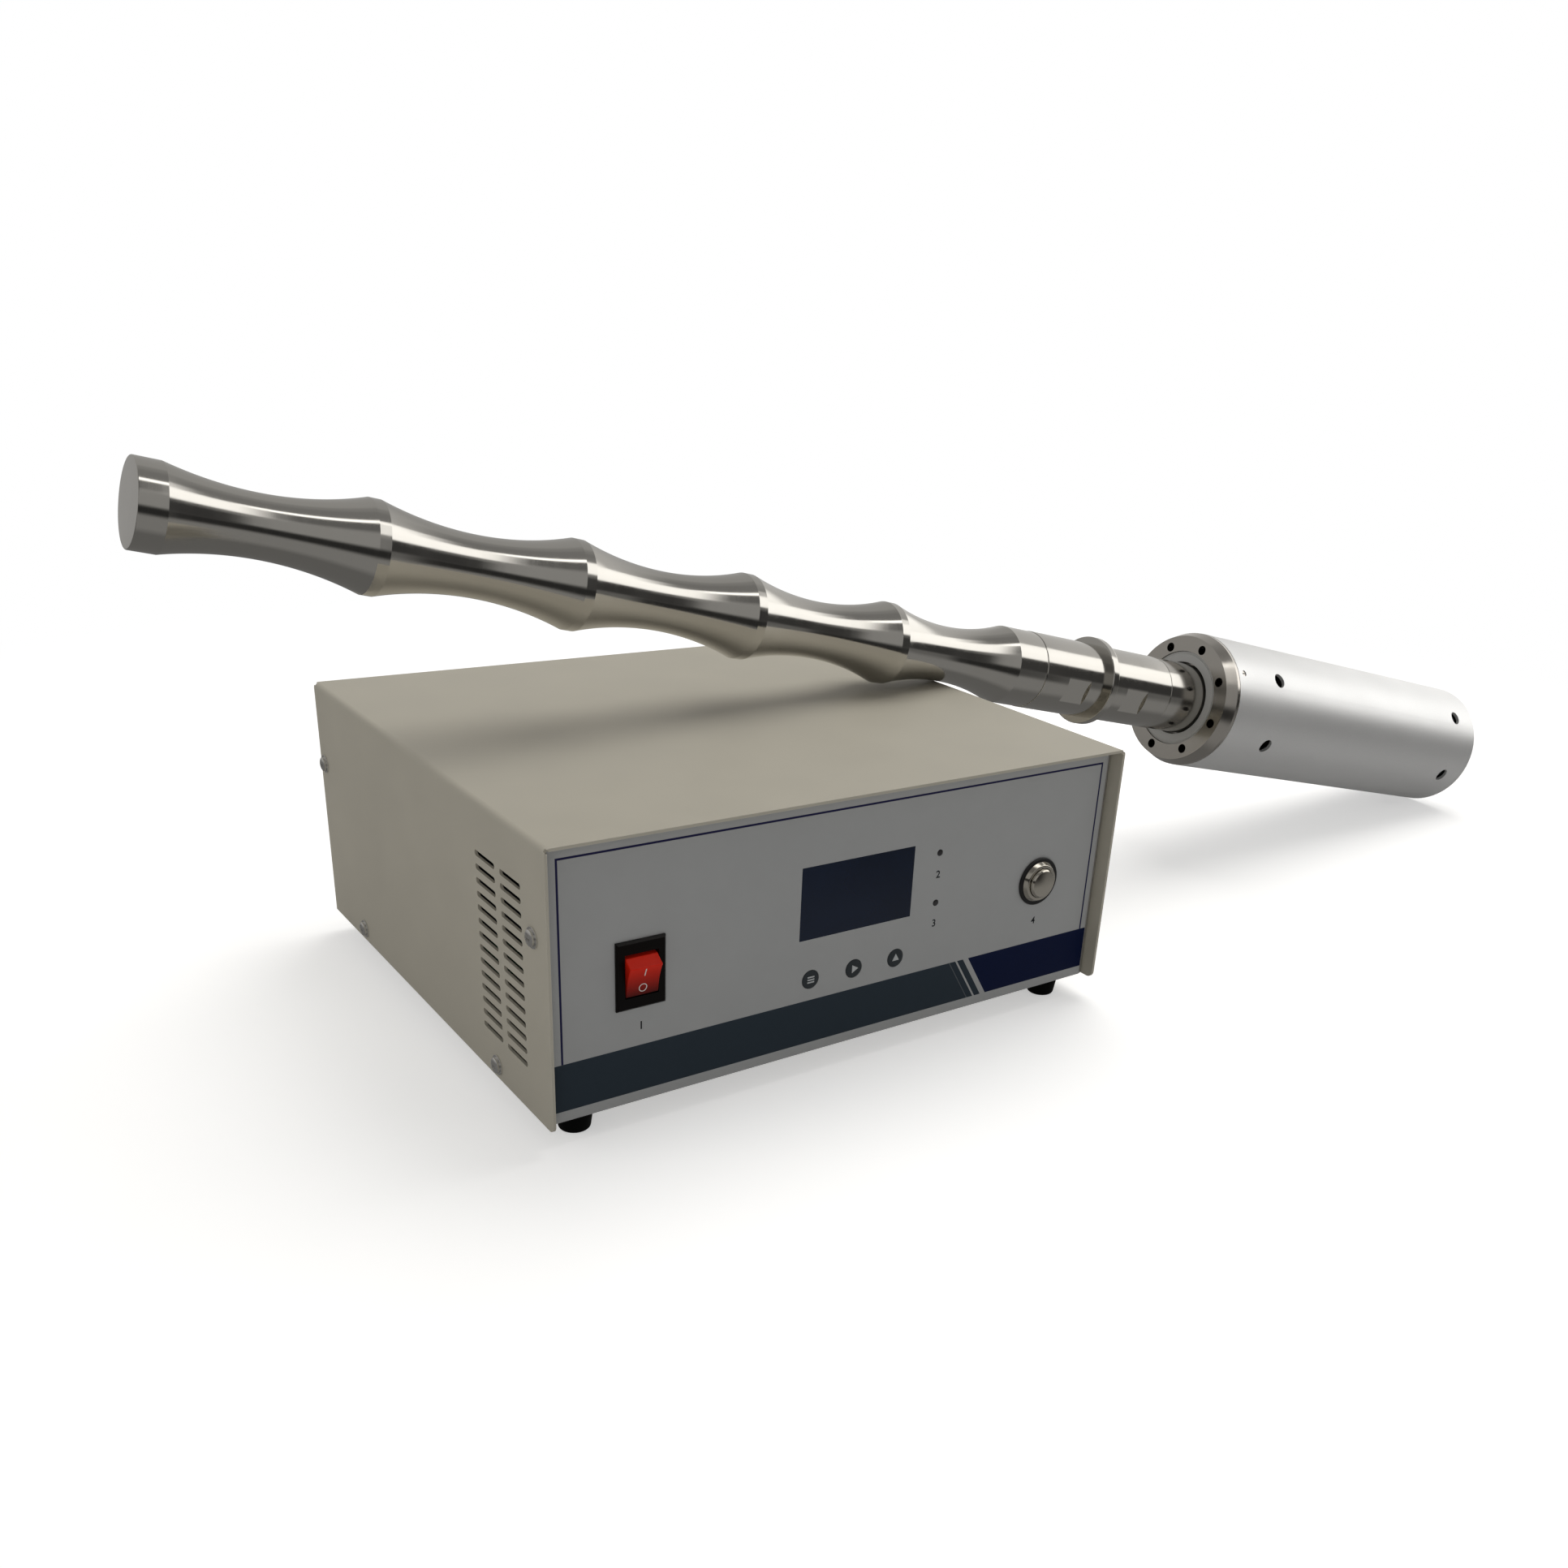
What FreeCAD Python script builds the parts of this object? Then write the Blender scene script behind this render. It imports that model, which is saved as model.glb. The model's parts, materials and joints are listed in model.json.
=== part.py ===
import FreeCAD, Part
import math
import os
import re

import Sketcher
from FreeCAD import Placement, Rotation, Vector

# An ultrasonic processor: a sheet-steel generator box on four rubber feet, and a probe that
# leans on the box's top edge with the rear rim of its housing on the bench.
# The box is drawn in a frame of its own: origin at the cover's bottom front left corner,
# X to the right, Y to the back, Z up. The probe is drawn along +X from the tip's face.
# The model's own frame stands under the middle of the whole object, on the bench.

SIZES = {
    # Where the box stands in the model's frame
    "box_left": -404.2,
    "box_front": -158.2,
    # Sheet-metal cover
    "cover_width": 350.0,
    "cover_depth": 304.7,
    "cover_height": 140.8,
    "sheet_thickness": 1.5,
    "bend_radius": 3.0,
    "cheek_corner_radius": 4.0,
    "corner_relief_radius": 1.0,
    "corner_relief_depth": 1.5,
    "sheet_gap": 0.2,
    "slot_front": 26.0,
    "slot_length": 22.5,
    "slot_height": 3.0,
    "slot_column_pitch": 28.0,
    "slot_first_row": 24.5,
    "slot_row_pitch": 6.9,
    "slot_rows": 14,
    # How far a cut starts before and ends past what it goes through
    "cut_spare": 1.0,
    # Cover screws, by their places on the side wall
    "screw_radius": 1.9,
    "screw_hole_radius": 2.1,
    "screw_clearance": 0.05,
    "screw_head_radius": 4.0,
    "screw_head_height": 2.2,
    "screw_washer_radius": 5.2,
    "screw_washer_thickness": 0.8,
    "screw_length": 8.0,
    "panel_screw_height": 94.5,
    "front_screw_back": 14.7,
    "rear_screw_inset": 7.7,
    "tray_screw_height": 7.5,
    "tray_screw_front": 61.9,
    "tray_screw_rear_inset": 53.5,
    # Tray and panels
    "panel_recess": 7.7,
    "film_thickness": 0.4,
    "rear_recess": 0.8,
    "panel_clearance": 0.4,
    "panel_top_gap": 0.8,
    "panel_corner_radius": 2.2,
    "panel_relief": 3.0,
    "panel_flange": 15.0,
    "tray_flange_height": 18.0,
    "tray_lip_height": 9.0,
    "tray_flange_front": 30.0,
    "tray_flange_rear_inset": 29.7,
    "film_margin": 3.0,
    # Feet
    "foot_height": 13.0,
    "foot_radius": 7.75,
    "foot_top_radius": 9.6,
    "foot_edge": 1.0,
    "foot_inset_x": 21.0,
    "foot_inset_y": 22.0,
    "foot_screw_radius": 1.9,
    "foot_screw_clearance": 0.1,
    "foot_screw_head_radius": 3.6,
    "foot_screw_head_height": 2.6,
    "foot_bore_radius": 4.6,
    "foot_bore_depth": 8.0,
    "foot_screw_reach": 7.0,
    # Power rocker and its housing
    "rocker_x": 49.5,
    "rocker_z": 68.9,
    "rocker_bezel_width": 26.0,
    "rocker_bezel_height": 35.0,
    "rocker_bezel_thickness": 2.0,
    "rocker_bezel_edge": 1.0,
    "rocker_body_width": 22.0,
    "rocker_body_height": 30.6,
    "rocker_body_depth": 22.0,
    "rocker_width": 17.0,
    "rocker_half_height": 10.4,
    "rocker_ridge_height": 8.3,
    "rocker_ridge_reach": 9.0,
    "rocker_end_reach": 3.0,
    "rocker_dish": 0.8,
    "rocker_back": 3.0,
    "rocker_back_taper": 1.0,
    "rocker_tilt": 16.0,
    "rocker_pivot_depth": 4.14,
    "rocker_pin_radius": 1.5,
    "rocker_pin_length": 1.4,
    "rocker_pin_clearance": 0.05,
    "rocker_pin_end_gap": 0.2,
    "rocker_side_clearance": 0.3,
    "rocker_end_clearance": 0.8,
    "rocker_edge": 0.5,
    "rocker_well_depth": 12.8,
    "terminal_width": 6.3,
    "terminal_thickness": 0.8,
    "terminal_length": 9.0,
    "terminal_pitch": 9.0,
    # Start button
    "button_inset": 49.0,
    "button_z": 68.5,
    "button_seal_radius": 14.0,
    "button_seal_thickness": 1.5,
    "button_bezel_radius": 12.0,
    "button_bezel_face_radius": 10.3,
    "button_bezel_thickness": 2.2,
    "button_barrel_radius": 9.5,
    "button_barrel_length": 24.0,
    "button_bore_radius": 8.8,
    "button_cap_radius": 8.5,
    "button_cap_stand": 2.4,
    "button_cap_length": 10.0,
    "button_cap_edge": 1.0,
    "button_stem_radius": 3.0,
    "button_stem_length": 8.0,
    "button_travel": 2.5,
    "button_hole_clearance": 0.25,
    "button_nut_flats": 24.0,
    "button_nut_thickness": 3.0,
    "button_nut_clearance": 0.1,
    "button_contact_gap": 0.3,
    "button_contact_fit": 0.1,
    "button_tag_length": 7.0,
    "button_tag_offset": 4.0,
    "button_tag_thickness": 0.8,
    "button_tag_width": 2.8,
    # Display, keys and indicators
    "window_left": 139.2,
    "window_width": 70.7,
    "window_bottom": 65.2,
    "window_height": 39.5,
    "module_margin": 5.0,
    "key_radius": 5.0,
    "key_gap": 0.3,
    "key_z": 42.6,
    "key_first_x": 147.3,
    "key_pitch": 27.4,
    "key_stand": 0.5,
    "key_edge": 1.0,
    "key_edge_stand": 0.3,
    "key_thickness": 2.2,
    "key_stem_radius": 2.0,
    "key_travel": 0.5,
    "tact_size": 6.0,
    "tact_height": 3.0,
    "tact_plunger_radius": 1.75,
    "tact_plunger_height": 1.0,
    "led_radius": 1.5,
    "led_edge": 0.4,
    "led_edge_depth": 0.1,
    "led_collar_radius": 1.9,
    "led_collar_setback": 5.0,
    "led_collar_width": 1.0,
    "led_gap": 0.2,
    "led_stand": 0.3,
    "led_x": 227.0,
    "led_upper_z": 98.1,
    "led_lower_z": 69.6,
    # Control board
    "board_left": 120.0,
    "board_width": 130.0,
    "board_bottom": 32.0,
    "board_height": 92.0,
    "board_thickness": 1.6,
    "board_standoff": 10.4,
    "standoff_radius": 2.6,
    "standoff_inset": 5.0,
    # Power electronics on the tray
    "power_board_left": 30.0,
    "power_board_gap": 12.0,
    "power_board_setback": 10.0,
    "power_board_depth": 110.0,
    "power_board_standoff": 8.0,
    "capacitor_radius": 17.5,
    "capacitor_height": 50.0,
    "capacitor_pitch": 42.0,
    "capacitor_inset": 35.0,
    "heatsink_inset": 60.0,
    "heatsink_fan_gap": 12.4,
    "heatsink_depth": 125.0,
    "heatsink_height": 82.0,
    "heatsink_base": 8.0,
    "heatsink_fin_length": 70.0,
    "heatsink_fin_thickness": 2.0,
    "heatsink_fins": 11,
    "transistor_width": 16.0,
    "transistor_height": 21.0,
    "transistor_thickness": 5.0,
    "transistor_pitch": 28.0,
    "transistor_inset": 12.0,
    "transistor_rise": 20.0,
    "transistors": 4,
    "core_left": 45.0,
    "core_front": 62.0,
    "core_width": 84.0,
    "core_depth": 32.0,
    "core_height": 74.0,
    "core_leg": 14.0,
    "winding_thickness": 11.0,
    "winding_gap": 0.6,
    "winding_corner_radius": 10.0,
    "choke_x": 178.0,
    "choke_y": 82.0,
    "choke_radius": 26.0,
    "choke_section_radius": 11.0,
    # Cooling fan
    "fan_inset": 80.0,
    "fan_z": 72.0,
    "fan_size": 80.0,
    "fan_corner_radius": 4.2,
    "fan_depth": 25.0,
    "fan_bore_radius": 38.0,
    "fan_screw_pitch": 71.5,
    "fan_screw_radius": 1.9,
    "fan_screw_hole_radius": 2.2,
    "fan_screw_clearance": 0.1,
    "fan_screw_head_radius": 3.9,
    "fan_screw_length": 20.0,
    "fan_motor_radius": 18.0,
    "fan_motor_thickness": 3.0,
    "fan_strut_width": 4.0,
    "fan_strut_overlap": 0.5,
    "fan_bearing_radius": 4.0,
    "fan_bearing_length": 14.0,
    "fan_shaft_radius": 1.5,
    "fan_shaft_clearance": 0.05,
    "fan_hub_radius": 17.5,
    "fan_hub_wall": 2.0,
    "fan_hub_length": 18.0,
    "fan_hub_gap": 1.0,
    "fan_hub_edge": 1.0,
    "fan_blade_gap": 1.2,
    "fan_blade_thickness": 1.4,
    "fan_blade_width": 15.0,
    "fan_blade_overlap": 0.6,
    "fan_blades": 7,
    "fan_blade_pitch_root": 52.0,
    "fan_blade_pitch_tip": 66.0,
    "guard_wire": 1.6,
    "guard_first_ring": 11.0,
    "guard_ring_pitch": 9.5,
    "guard_rings": 4,
    "guard_eye_radius": 4.2,
    # Sockets on the rear panel
    "inlet_x": 60.0,
    "inlet_z": 95.0,
    "inlet_flange_width": 31.0,
    "inlet_flange_height": 28.0,
    "inlet_flange_thickness": 2.5,
    "inlet_body_width": 27.0,
    "inlet_body_height": 21.5,
    "inlet_body_depth": 20.0,
    "inlet_cavity_width": 24.0,
    "inlet_cavity_height": 16.0,
    "inlet_cavity_depth": 16.0,
    "inlet_pin_width": 4.0,
    "inlet_pin_thickness": 2.0,
    "inlet_pin_length": 9.0,
    "inlet_pin_pitch": 7.0,
    "inlet_pin_offset": 2.5,
    "fuse_x": 60.0,
    "fuse_z": 58.0,
    "fuse_cap_radius": 7.5,
    "fuse_cap_height": 8.0,
    "fuse_cap_edge": 1.0,
    "fuse_body_radius": 6.2,
    "fuse_body_length": 26.0,
    "socket_x": 130.0,
    "socket_z": 95.0,
    "socket_flange_radius": 15.2,
    "socket_flange_thickness": 2.5,
    "socket_barrel_radius": 9.5,
    "socket_barrel_length": 12.0,
    "socket_cavity_radius": 7.6,
    "socket_cavity_depth": 10.0,
    "socket_body_radius": 8.7,
    "socket_body_length": 14.0,
    "socket_pin_radius": 0.9,
    "socket_pin_length": 4.0,
    "socket_pin_circle": 4.2,
    "socket_pins": 4,
    "socket_pin_angle": 45.0,
    "earth_x": 130.0,
    "earth_z": 58.0,
    "earth_radius": 2.5,
    "earth_length": 20.0,
    "earth_nut_flats": 8.0,
    "earth_nut_thickness": 4.0,
    "earth_thread_end": 2.0,
    "panel_fit": 0.2,
    # How the probe leans on the box
    "probe_rest_y": 167.0,
    "probe_yaw": -0.93,
    "rest_gap": 0.3,
    # Turned horn: lands at the crests, round waists between them
    "tip_radius": 20.0,
    "tip_land": 12.1,
    "tip_chamfer": 0.5,
    "crest_land": 5.5,
    "first_waist_length": 89.5,
    "first_waist_radius": 14.8,
    "first_crest_radius": 22.7,
    "second_waist_length": 100.5,
    "second_waist_radius": 15.5,
    "second_crest_radius": 23.5,
    "third_waist_length": 100.4,
    "third_waist_radius": 15.9,
    "third_crest_radius": 23.9,
    "fourth_waist_length": 98.3,
    "fourth_waist_radius": 16.5,
    "fourth_crest_radius": 24.5,
    "fifth_waist_length": 94.2,
    "fifth_waist_radius": 17.2,
    "fifth_crest_radius": 24.7,
    "horn_tail": 24.6,
    "seam_chamfer": 0.6,
    "stud_radius": 8.0,
    "stud_clearance": 0.1,
    "stud_reach": 24.0,
    "stud_bore_depth": 26.0,
    # Booster with its nodal ring and two pairs of spanner flats
    "booster_length": 124.9,
    "booster_radius": 25.0,
    "nodal_ring_place": 58.4,
    "nodal_ring_width": 6.0,
    "nodal_ring_radius": 29.7,
    "flat_across": 47.0,
    "flat_width": 21.0,
    "flat_1_place": 21.4,
    "flat_2_place": 79.4,
    "flat_angle": -105.0,
    # Transducer: front mass, ceramic stack, back mass and preload bolt
    "front_mass_length": 98.5,
    "clamp_rim_place": 43.5,
    "clamp_rim_width": 5.0,
    "clamp_rim_radius": 33.5,
    "disc_radius": 25.0,
    "disc_bore_radius": 9.5,
    "disc_thickness": 6.0,
    "discs": 6,
    "electrode_thickness": 0.3,
    "electrode_overhang": 0.3,
    "electrode_tab_width": 6.0,
    "electrode_tab_length": 7.0,
    "electrode_tab_overlap": 1.0,
    "back_mass_radius": 26.5,
    "back_mass_length": 45.0,
    "back_mass_edge": 2.0,
    "bolt_head_radius": 12.0,
    "bolt_head_height": 14.0,
    "bolt_head_edge": 1.0,
    "bolt_socket_flats": 14.0,
    "bolt_socket_depth": 8.0,
    "bolt_reach": 30.0,
    "bolt_bore_spare": 2.0,
    # Mounting flange at the front of the housing
    "flange_place": 35.5,
    "flange_face_radius": 45.0,
    "flange_rim_radius": 48.2,
    "flange_bevel_length": 9.0,
    "flange_length": 12.0,
    "flange_bore_radius": 34.0,
    "flange_shoulder_radius": 29.0,
    "flange_spigot_length": 13.0,
    "spigot_clearance": 0.2,
    "flange_hole_circle": 77.0,
    "flange_hole_radius": 3.3,
    "flange_holes": 8,
    "flange_hole_angle": -60.0,
    "retainer_face_radius": 32.3,
    "retainer_bore_radius": 26.9,
    "retainer_clearance": 0.2,
    "retainer_sink": 0.6,
    "retainer_face_depth": 2.9,
    "gasket_thickness": 1.5,
    # Vented housing
    "housing_radius": 48.4,
    "housing_wall": 4.4,
    "housing_length": 326.0,
    "vent_radius": 5.5,
    "vent_front_place": 49.0,
    "vent_rear_place": 298.0,
    "vents": 6,
    "vent_angle": -52.5,
    "set_screw_place": 6.4,
    "set_screw_radius": 2.1,
    "set_screw_hole_radius": 2.25,
    "set_screw_sink": 0.5,
    "set_screw_slot_width": 0.8,
    "set_screw_slot_depth": 1.2,
    "set_screws": 3,
    "cap_thickness": 12.0,
    "cap_sink": 2.0,
    "cap_clearance": 0.2,
    "cap_spanner_radius": 2.5,
    "cap_spanner_circle": 60.0,
    "cap_spanner_depth": 5.0,
    "cap_screw_radius": 1.4,
    "cap_screw_head_radius": 2.4,
    "cap_screw_head_height": 1.6,
    "cap_screw_length": 9.0,
    "cap_screw_circle": 24.8,
    "cap_screws": 4,
}

DOC = FreeCAD.newDocument("ultrasonic_processor")
SHEET = DOC.addObject("Spreadsheet::Sheet", "sizes")
for row, (alias, number) in enumerate(SIZES.items(), start=1):
    SHEET.set(f"A{row}", alias)
    SHEET.set(f"B{row}", str(number))
    SHEET.setAlias(f"B{row}", alias)
DOC.recompute()

NODES = {}
SMALL = 0.01
HEAD_TOP_SHARE = 0.62
HEAD_RIM_SHARE = 0.55
PLANES = {"XY": ("XY_Plane", 1), "XZ": ("XZ_Plane", -1), "YZ": ("YZ_Plane", 1)}


def formula(text):
    """The formula with each size's name pointed at its cell."""
    return re.sub(r"[A-Za-z_]\w*", lambda m: f"sizes.{m[0]}" if m[0] in SIZES else m[0], str(text))


def value(text):
    """The number that a formula of size names gives."""
    return float(SHEET.evalExpression(str(text)))


def count(alias):
    """A whole number from the sheet."""
    return int(round(value(alias)))


def bind(thing, prop, text):
    """Ties a property to the sheet."""
    thing.setExpression(prop, formula(text))


def keep(name, thing, frame):
    """Names a sub-part, places it and lists it for export."""
    thing.Label = name
    thing.Placement = frame
    NODES[name] = thing
    return thing


class Piece:
    """A body made of sketches and features that are tied to the sheet."""

    def __init__(self, name):
        self.name = name
        self.body = DOC.addObject("PartDesign::Body", name)
        self.made = 0

    def add(self, kind, stem):
        """Adds a numbered feature to the body."""
        self.made += 1
        return self.body.newObject(kind, f"{self.name}_{stem}_{self.made}")

    def sketch(self, plane, at="0"):
        """A sketch on an origin plane, moved along that plane's axis."""
        role, sign = PLANES[plane]
        sketch = self.add("Sketcher::SketchObject", "sketch")
        support = next(f for f in self.body.Origin.OriginFeatures if f.Role == role)
        sketch.AttachmentSupport = [(support, "")]
        sketch.MapMode = "FlatFace"
        bind(sketch, "AttachmentOffset.Base.z", f"{sign} * ({at})")
        sketch.recompute()
        return Outline(sketch, sign)

    def pad(self, outline, length):
        """Adds material from the sketch along the plane's positive axis."""
        pad = self.add("PartDesign::Pad", "pad")
        pad.Profile = outline.sketch
        pad.Reversed = outline.sign < 0
        bind(pad, "Length", length)
        DOC.recompute()
        return pad

    def pocket(self, outline, length):
        """Removes material from the sketch along the plane's positive axis."""
        before = self.body.Shape.Volume
        pocket = self.add("PartDesign::Pocket", "pocket")
        pocket.Profile = outline.sketch
        pocket.Reversed = outline.sign > 0
        bind(pocket, "Length", length)
        DOC.recompute()
        if not self.body.Shape.Volume < before:
            raise ValueError(f"{pocket.Label} removes nothing")
        return pocket

    def turn(self, outline):
        """Turns a profile in the XY plane about the X axis."""
        turned = self.add("PartDesign::Revolution", "turned")
        turned.Profile = outline.sketch
        turned.ReferenceAxis = (outline.sketch, ["H_Axis"])
        turned.Angle = 360
        DOC.recompute()
        return turned

    def row(self, features, outline, direction, length, occurrences):
        """Repeats features along a sketch's own axis."""
        pattern = self.add("PartDesign::LinearPattern", "row")
        pattern.Originals = features
        pattern.Direction = (outline.sketch, [direction])
        bind(pattern, "Length", length)
        bind(pattern, "Occurrences", occurrences)
        self.body.Tip = pattern
        DOC.recompute()
        return pattern

    def ring(self, features, occurrences):
        """Repeats features evenly about the X axis."""
        pattern = self.add("PartDesign::PolarPattern", "ring")
        axis = next(f for f in self.body.Origin.OriginFeatures if f.Role == "X_Axis")
        pattern.Originals = features
        pattern.Axis = (axis, [""])
        pattern.Angle = 360
        bind(pattern, "Occurrences", occurrences)
        self.body.Tip = pattern
        DOC.recompute()
        return pattern

    def soften(self, kind, size, chosen):
        """Fillets or chamfers the edges whose middle passes the test."""
        base = self.body.Tip
        edges = []
        for number, edge in enumerate(base.Shape.Edges, start=1):
            middle = edge.valueAt((edge.FirstParameter + edge.LastParameter) / 2)
            if chosen(middle, edge):
                edges.append(f"Edge{number}")
        if not edges:
            raise ValueError(f"{self.name} has no such edge")
        feature = self.add(f"PartDesign::{kind}", kind.lower())
        feature.Base = (base, edges)
        bind(feature, "Radius" if kind == "Fillet" else "Size", size)
        self.body.Tip = feature
        DOC.recompute()
        return feature

    def done(self, frame):
        """Places the finished body and lists it for export."""
        return keep(self.name, self.body, frame)


class Outline:
    """Closed outlines in one sketch, each corner and radius tied to the sheet."""

    def __init__(self, sketch, sign):
        self.sketch = sketch
        self.sign = sign

    def hold(self, kind, geometry, point, text):
        """Fixes one coordinate of a point from the sketch's origin."""
        index = self.sketch.addConstraint(Sketcher.Constraint(kind, -1, 1, geometry, point, value(text)))
        bind(self.sketch, f"Constraints[{index}]", text)

    def fix(self, geometry, point, place):
        """Fixes both coordinates of a point."""
        self.hold("DistanceX", geometry, point, place[0])
        self.hold("DistanceY", geometry, point, place[1])

    def chain(self, corners, bows=None):
        """Lines through the corners; a bow gives the point that an arc passes through instead."""
        bows = bows or {}
        spots = [Vector(value(x), value(y), 0) for x, y in corners]
        first = self.sketch.GeometryCount
        total = len(spots)
        for i, spot in enumerate(spots):
            following = spots[(i + 1) % total]
            if i in bows:
                through = Vector(value(bows[i][0]), value(bows[i][1]), 0)
                self.sketch.addGeometry(Part.Arc(spot, through, following))
            else:
                self.sketch.addGeometry(Part.LineSegment(spot, following))
        for i in range(total):
            joint = Sketcher.Constraint("Coincident", first + i, 2, first + (i + 1) % total, 1)
            self.sketch.addConstraint(joint)
            self.fix(first + i, 1, corners[i])
        for i, place in bows.items():
            through = Vector(value(place[0]), value(place[1]), 0)
            point = self.sketch.addGeometry(Part.Point(through), True)
            self.fix(point, 1, place)
            self.sketch.addConstraint(Sketcher.Constraint("PointOnObject", point, 1, first + i))
        return self

    def rectangle(self, left, bottom, width, height):
        """Four lines from the low left corner."""
        right = f"({left}) + ({width})"
        top = f"({bottom}) + ({height})"
        return self.chain([(left, bottom), (right, bottom), (right, top), (left, top)])

    def circle(self, x, y, radius):
        """A circle about a point."""
        shape = Part.Circle(Vector(value(x), value(y), 0), Vector(0, 0, 1), value(radius))
        geometry = self.sketch.addGeometry(shape)
        self.fix(geometry, 3, (x, y))
        index = self.sketch.addConstraint(Sketcher.Constraint("Radius", geometry, value(radius)))
        bind(self.sketch, f"Constraints[{index}]", radius)
        return self

    def slot(self, left, middle, length, height):
        """A level slot with round ends."""
        half = f"({height}) / 2"
        right = f"({left}) + ({length})"
        low = f"({middle}) - {half}"
        high = f"({middle}) + {half}"
        corners = [
            (f"({left}) + {half}", low),
            (f"({right}) - {half}", low),
            (f"({right}) - {half}", high),
            (f"({left}) + {half}", high),
        ]
        return self.chain(corners, {1: (right, middle), 3: (left, middle)})


def block(corner, size):
    """A box with its low corner and its lengths tied to the sheet."""
    box = DOC.addObject("Part::Box", "block")
    for prop, text in zip(("Length", "Width", "Height"), size):
        bind(box, prop, text)
    for axis, text in zip("xyz", corner):
        bind(box, f"Placement.Base.{axis}", text)
    return box


def rod(start, axis, radius, length):
    """A cylinder from a start point along +X, +Y or +Z, tied to the sheet."""
    turns = {"X": Rotation(Vector(0, 1, 0), 90), "Y": Rotation(Vector(1, 0, 0), -90), "Z": Rotation()}
    cylinder = DOC.addObject("Part::Cylinder", "rod")
    cylinder.Placement = Placement(Vector(0, 0, 0), turns[axis])
    bind(cylinder, "Radius", radius)
    bind(cylinder, "Height", length)
    for name, text in zip("xyz", start):
        bind(cylinder, f"Placement.Base.{name}", text)
    return cylinder


def fuse(members):
    """Solids made into one."""
    joined = DOC.addObject("Part::MultiFuse", "joined")
    joined.Shapes = members
    return joined


def cut(base, tool):
    """A solid with another taken away."""
    result = DOC.addObject("Part::Cut", "cut")
    result.Base = base
    result.Tool = tool
    return result


def together(name, members, frame):
    """One node made of bound solids."""
    node = DOC.addObject("Part::Compound", name)
    node.Links = members
    return keep(name, node, frame)


def shaped(name, shapes, frame):
    """One node made of shapes that are worked out from the sheet."""
    node = DOC.addObject("Part::Feature", name)
    node.Shape = Part.makeCompound(shapes)
    return keep(name, node, frame)


def turned(points):
    """A solid turned about the X axis from (along, radius) points."""
    corners = [Vector(x, r, 0) for x, r in points]
    face = Part.Face(Part.makePolygon(corners + corners[:1]))
    return face.revolve(Vector(0, 0, 0), Vector(1, 0, 0), 360)


def hexagon(flats, start, length):
    """A hexagonal bar along +X."""
    corner = flats / math.sqrt(3)
    turns = [math.radians(60 * k) for k in range(6)]
    ring = [Vector(start, corner * math.sin(a), corner * math.cos(a)) for a in turns]
    return Part.Face(Part.makePolygon(ring + ring[:1])).extrude(Vector(length, 0, 0))


def placed(shape, spot, pointing):
    """A copy of a shape drawn along +X, moved to a spot and pointed another way."""
    turn = Rotation(Vector(1, 0, 0), Vector(*pointing))
    copy = shape.copy()
    copy.Placement = Placement(Vector(*spot), turn)
    return copy


def pan_screw(shank, length, head, height, washer=0.0, thickness=0.0):
    """A pan-head screw along +X: the shank ends at minus length, the head stands above zero."""
    dome = head * HEAD_TOP_SHARE
    points = [(-length, 0), (-length, shank), (0, shank)]
    if washer:
        points += [(0, washer), (thickness, washer)]
    else:
        points += [(0, head)]
    base = thickness if washer else 0.0
    rim = base + height * HEAD_RIM_SHARE
    points += [(base, head), (rim, head), (base + height, dome), (base + height, 0)]
    return turned(points)


BOX_FRAME = Placement(Vector(value("box_left"), value("box_front"), value("foot_height")), Rotation())

FILM_FRONT = "panel_recess"
PANEL_FRONT = "panel_recess + film_thickness"
PANEL_BACK = "panel_recess + film_thickness + sheet_thickness"
REAR_OUTSIDE = "cover_depth - rear_recess"
REAR_INSIDE = "cover_depth - rear_recess - sheet_thickness"
BOARD_FRONT = f"{PANEL_BACK} + board_standoff"
INSIDE_LEFT = "sheet_thickness + sheet_gap"
INSIDE_WIDTH = "cover_width - 2 * (sheet_thickness + sheet_gap)"
PANEL_HEIGHT = "cover_height - sheet_thickness - panel_clearance - panel_top_gap"
BUTTON_X = "(cover_width - button_inset)"
FAN_X = "(cover_width - fan_inset)"
HEATSINK_LEFT = "(cover_width - heatsink_inset - heatsink_fin_length - heatsink_base)"
HEATSINK_FRONT = f"({REAR_INSIDE} - fan_depth - heatsink_fan_gap - heatsink_depth)"
POWER_BOARD_WIDTH = f"({HEATSINK_LEFT} - transistor_thickness - power_board_gap - power_board_left)"
POWER_BOARD_FRONT = f"({HEATSINK_FRONT} + power_board_setback)"
SIDE_SCREWS = [
    ("front_screw_back", "panel_screw_height"),
    ("cover_depth - rear_screw_inset", "panel_screw_height"),
    ("tray_screw_front", "tray_screw_height"),
    ("cover_depth - tray_screw_rear_inset", "tray_screw_height"),
]
KEY_PLACES = {"key_mode": 0, "key_next": 1, "key_up": 2}
FAN_CORNERS = [(y, z) for y in (-1, 1) for z in (-1, 1)]


def key_x(place):
    """A key's distance from the cover's left side."""
    return f"key_first_x + {place} * key_pitch"


def fan_screw_spot(y, z):
    """A fan screw's place from the fan's middle, for a corner given as plus or minus one."""
    return f"{y} * fan_screw_pitch / 2", f"{z} * fan_screw_pitch / 2"


# Cover and tray


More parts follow.
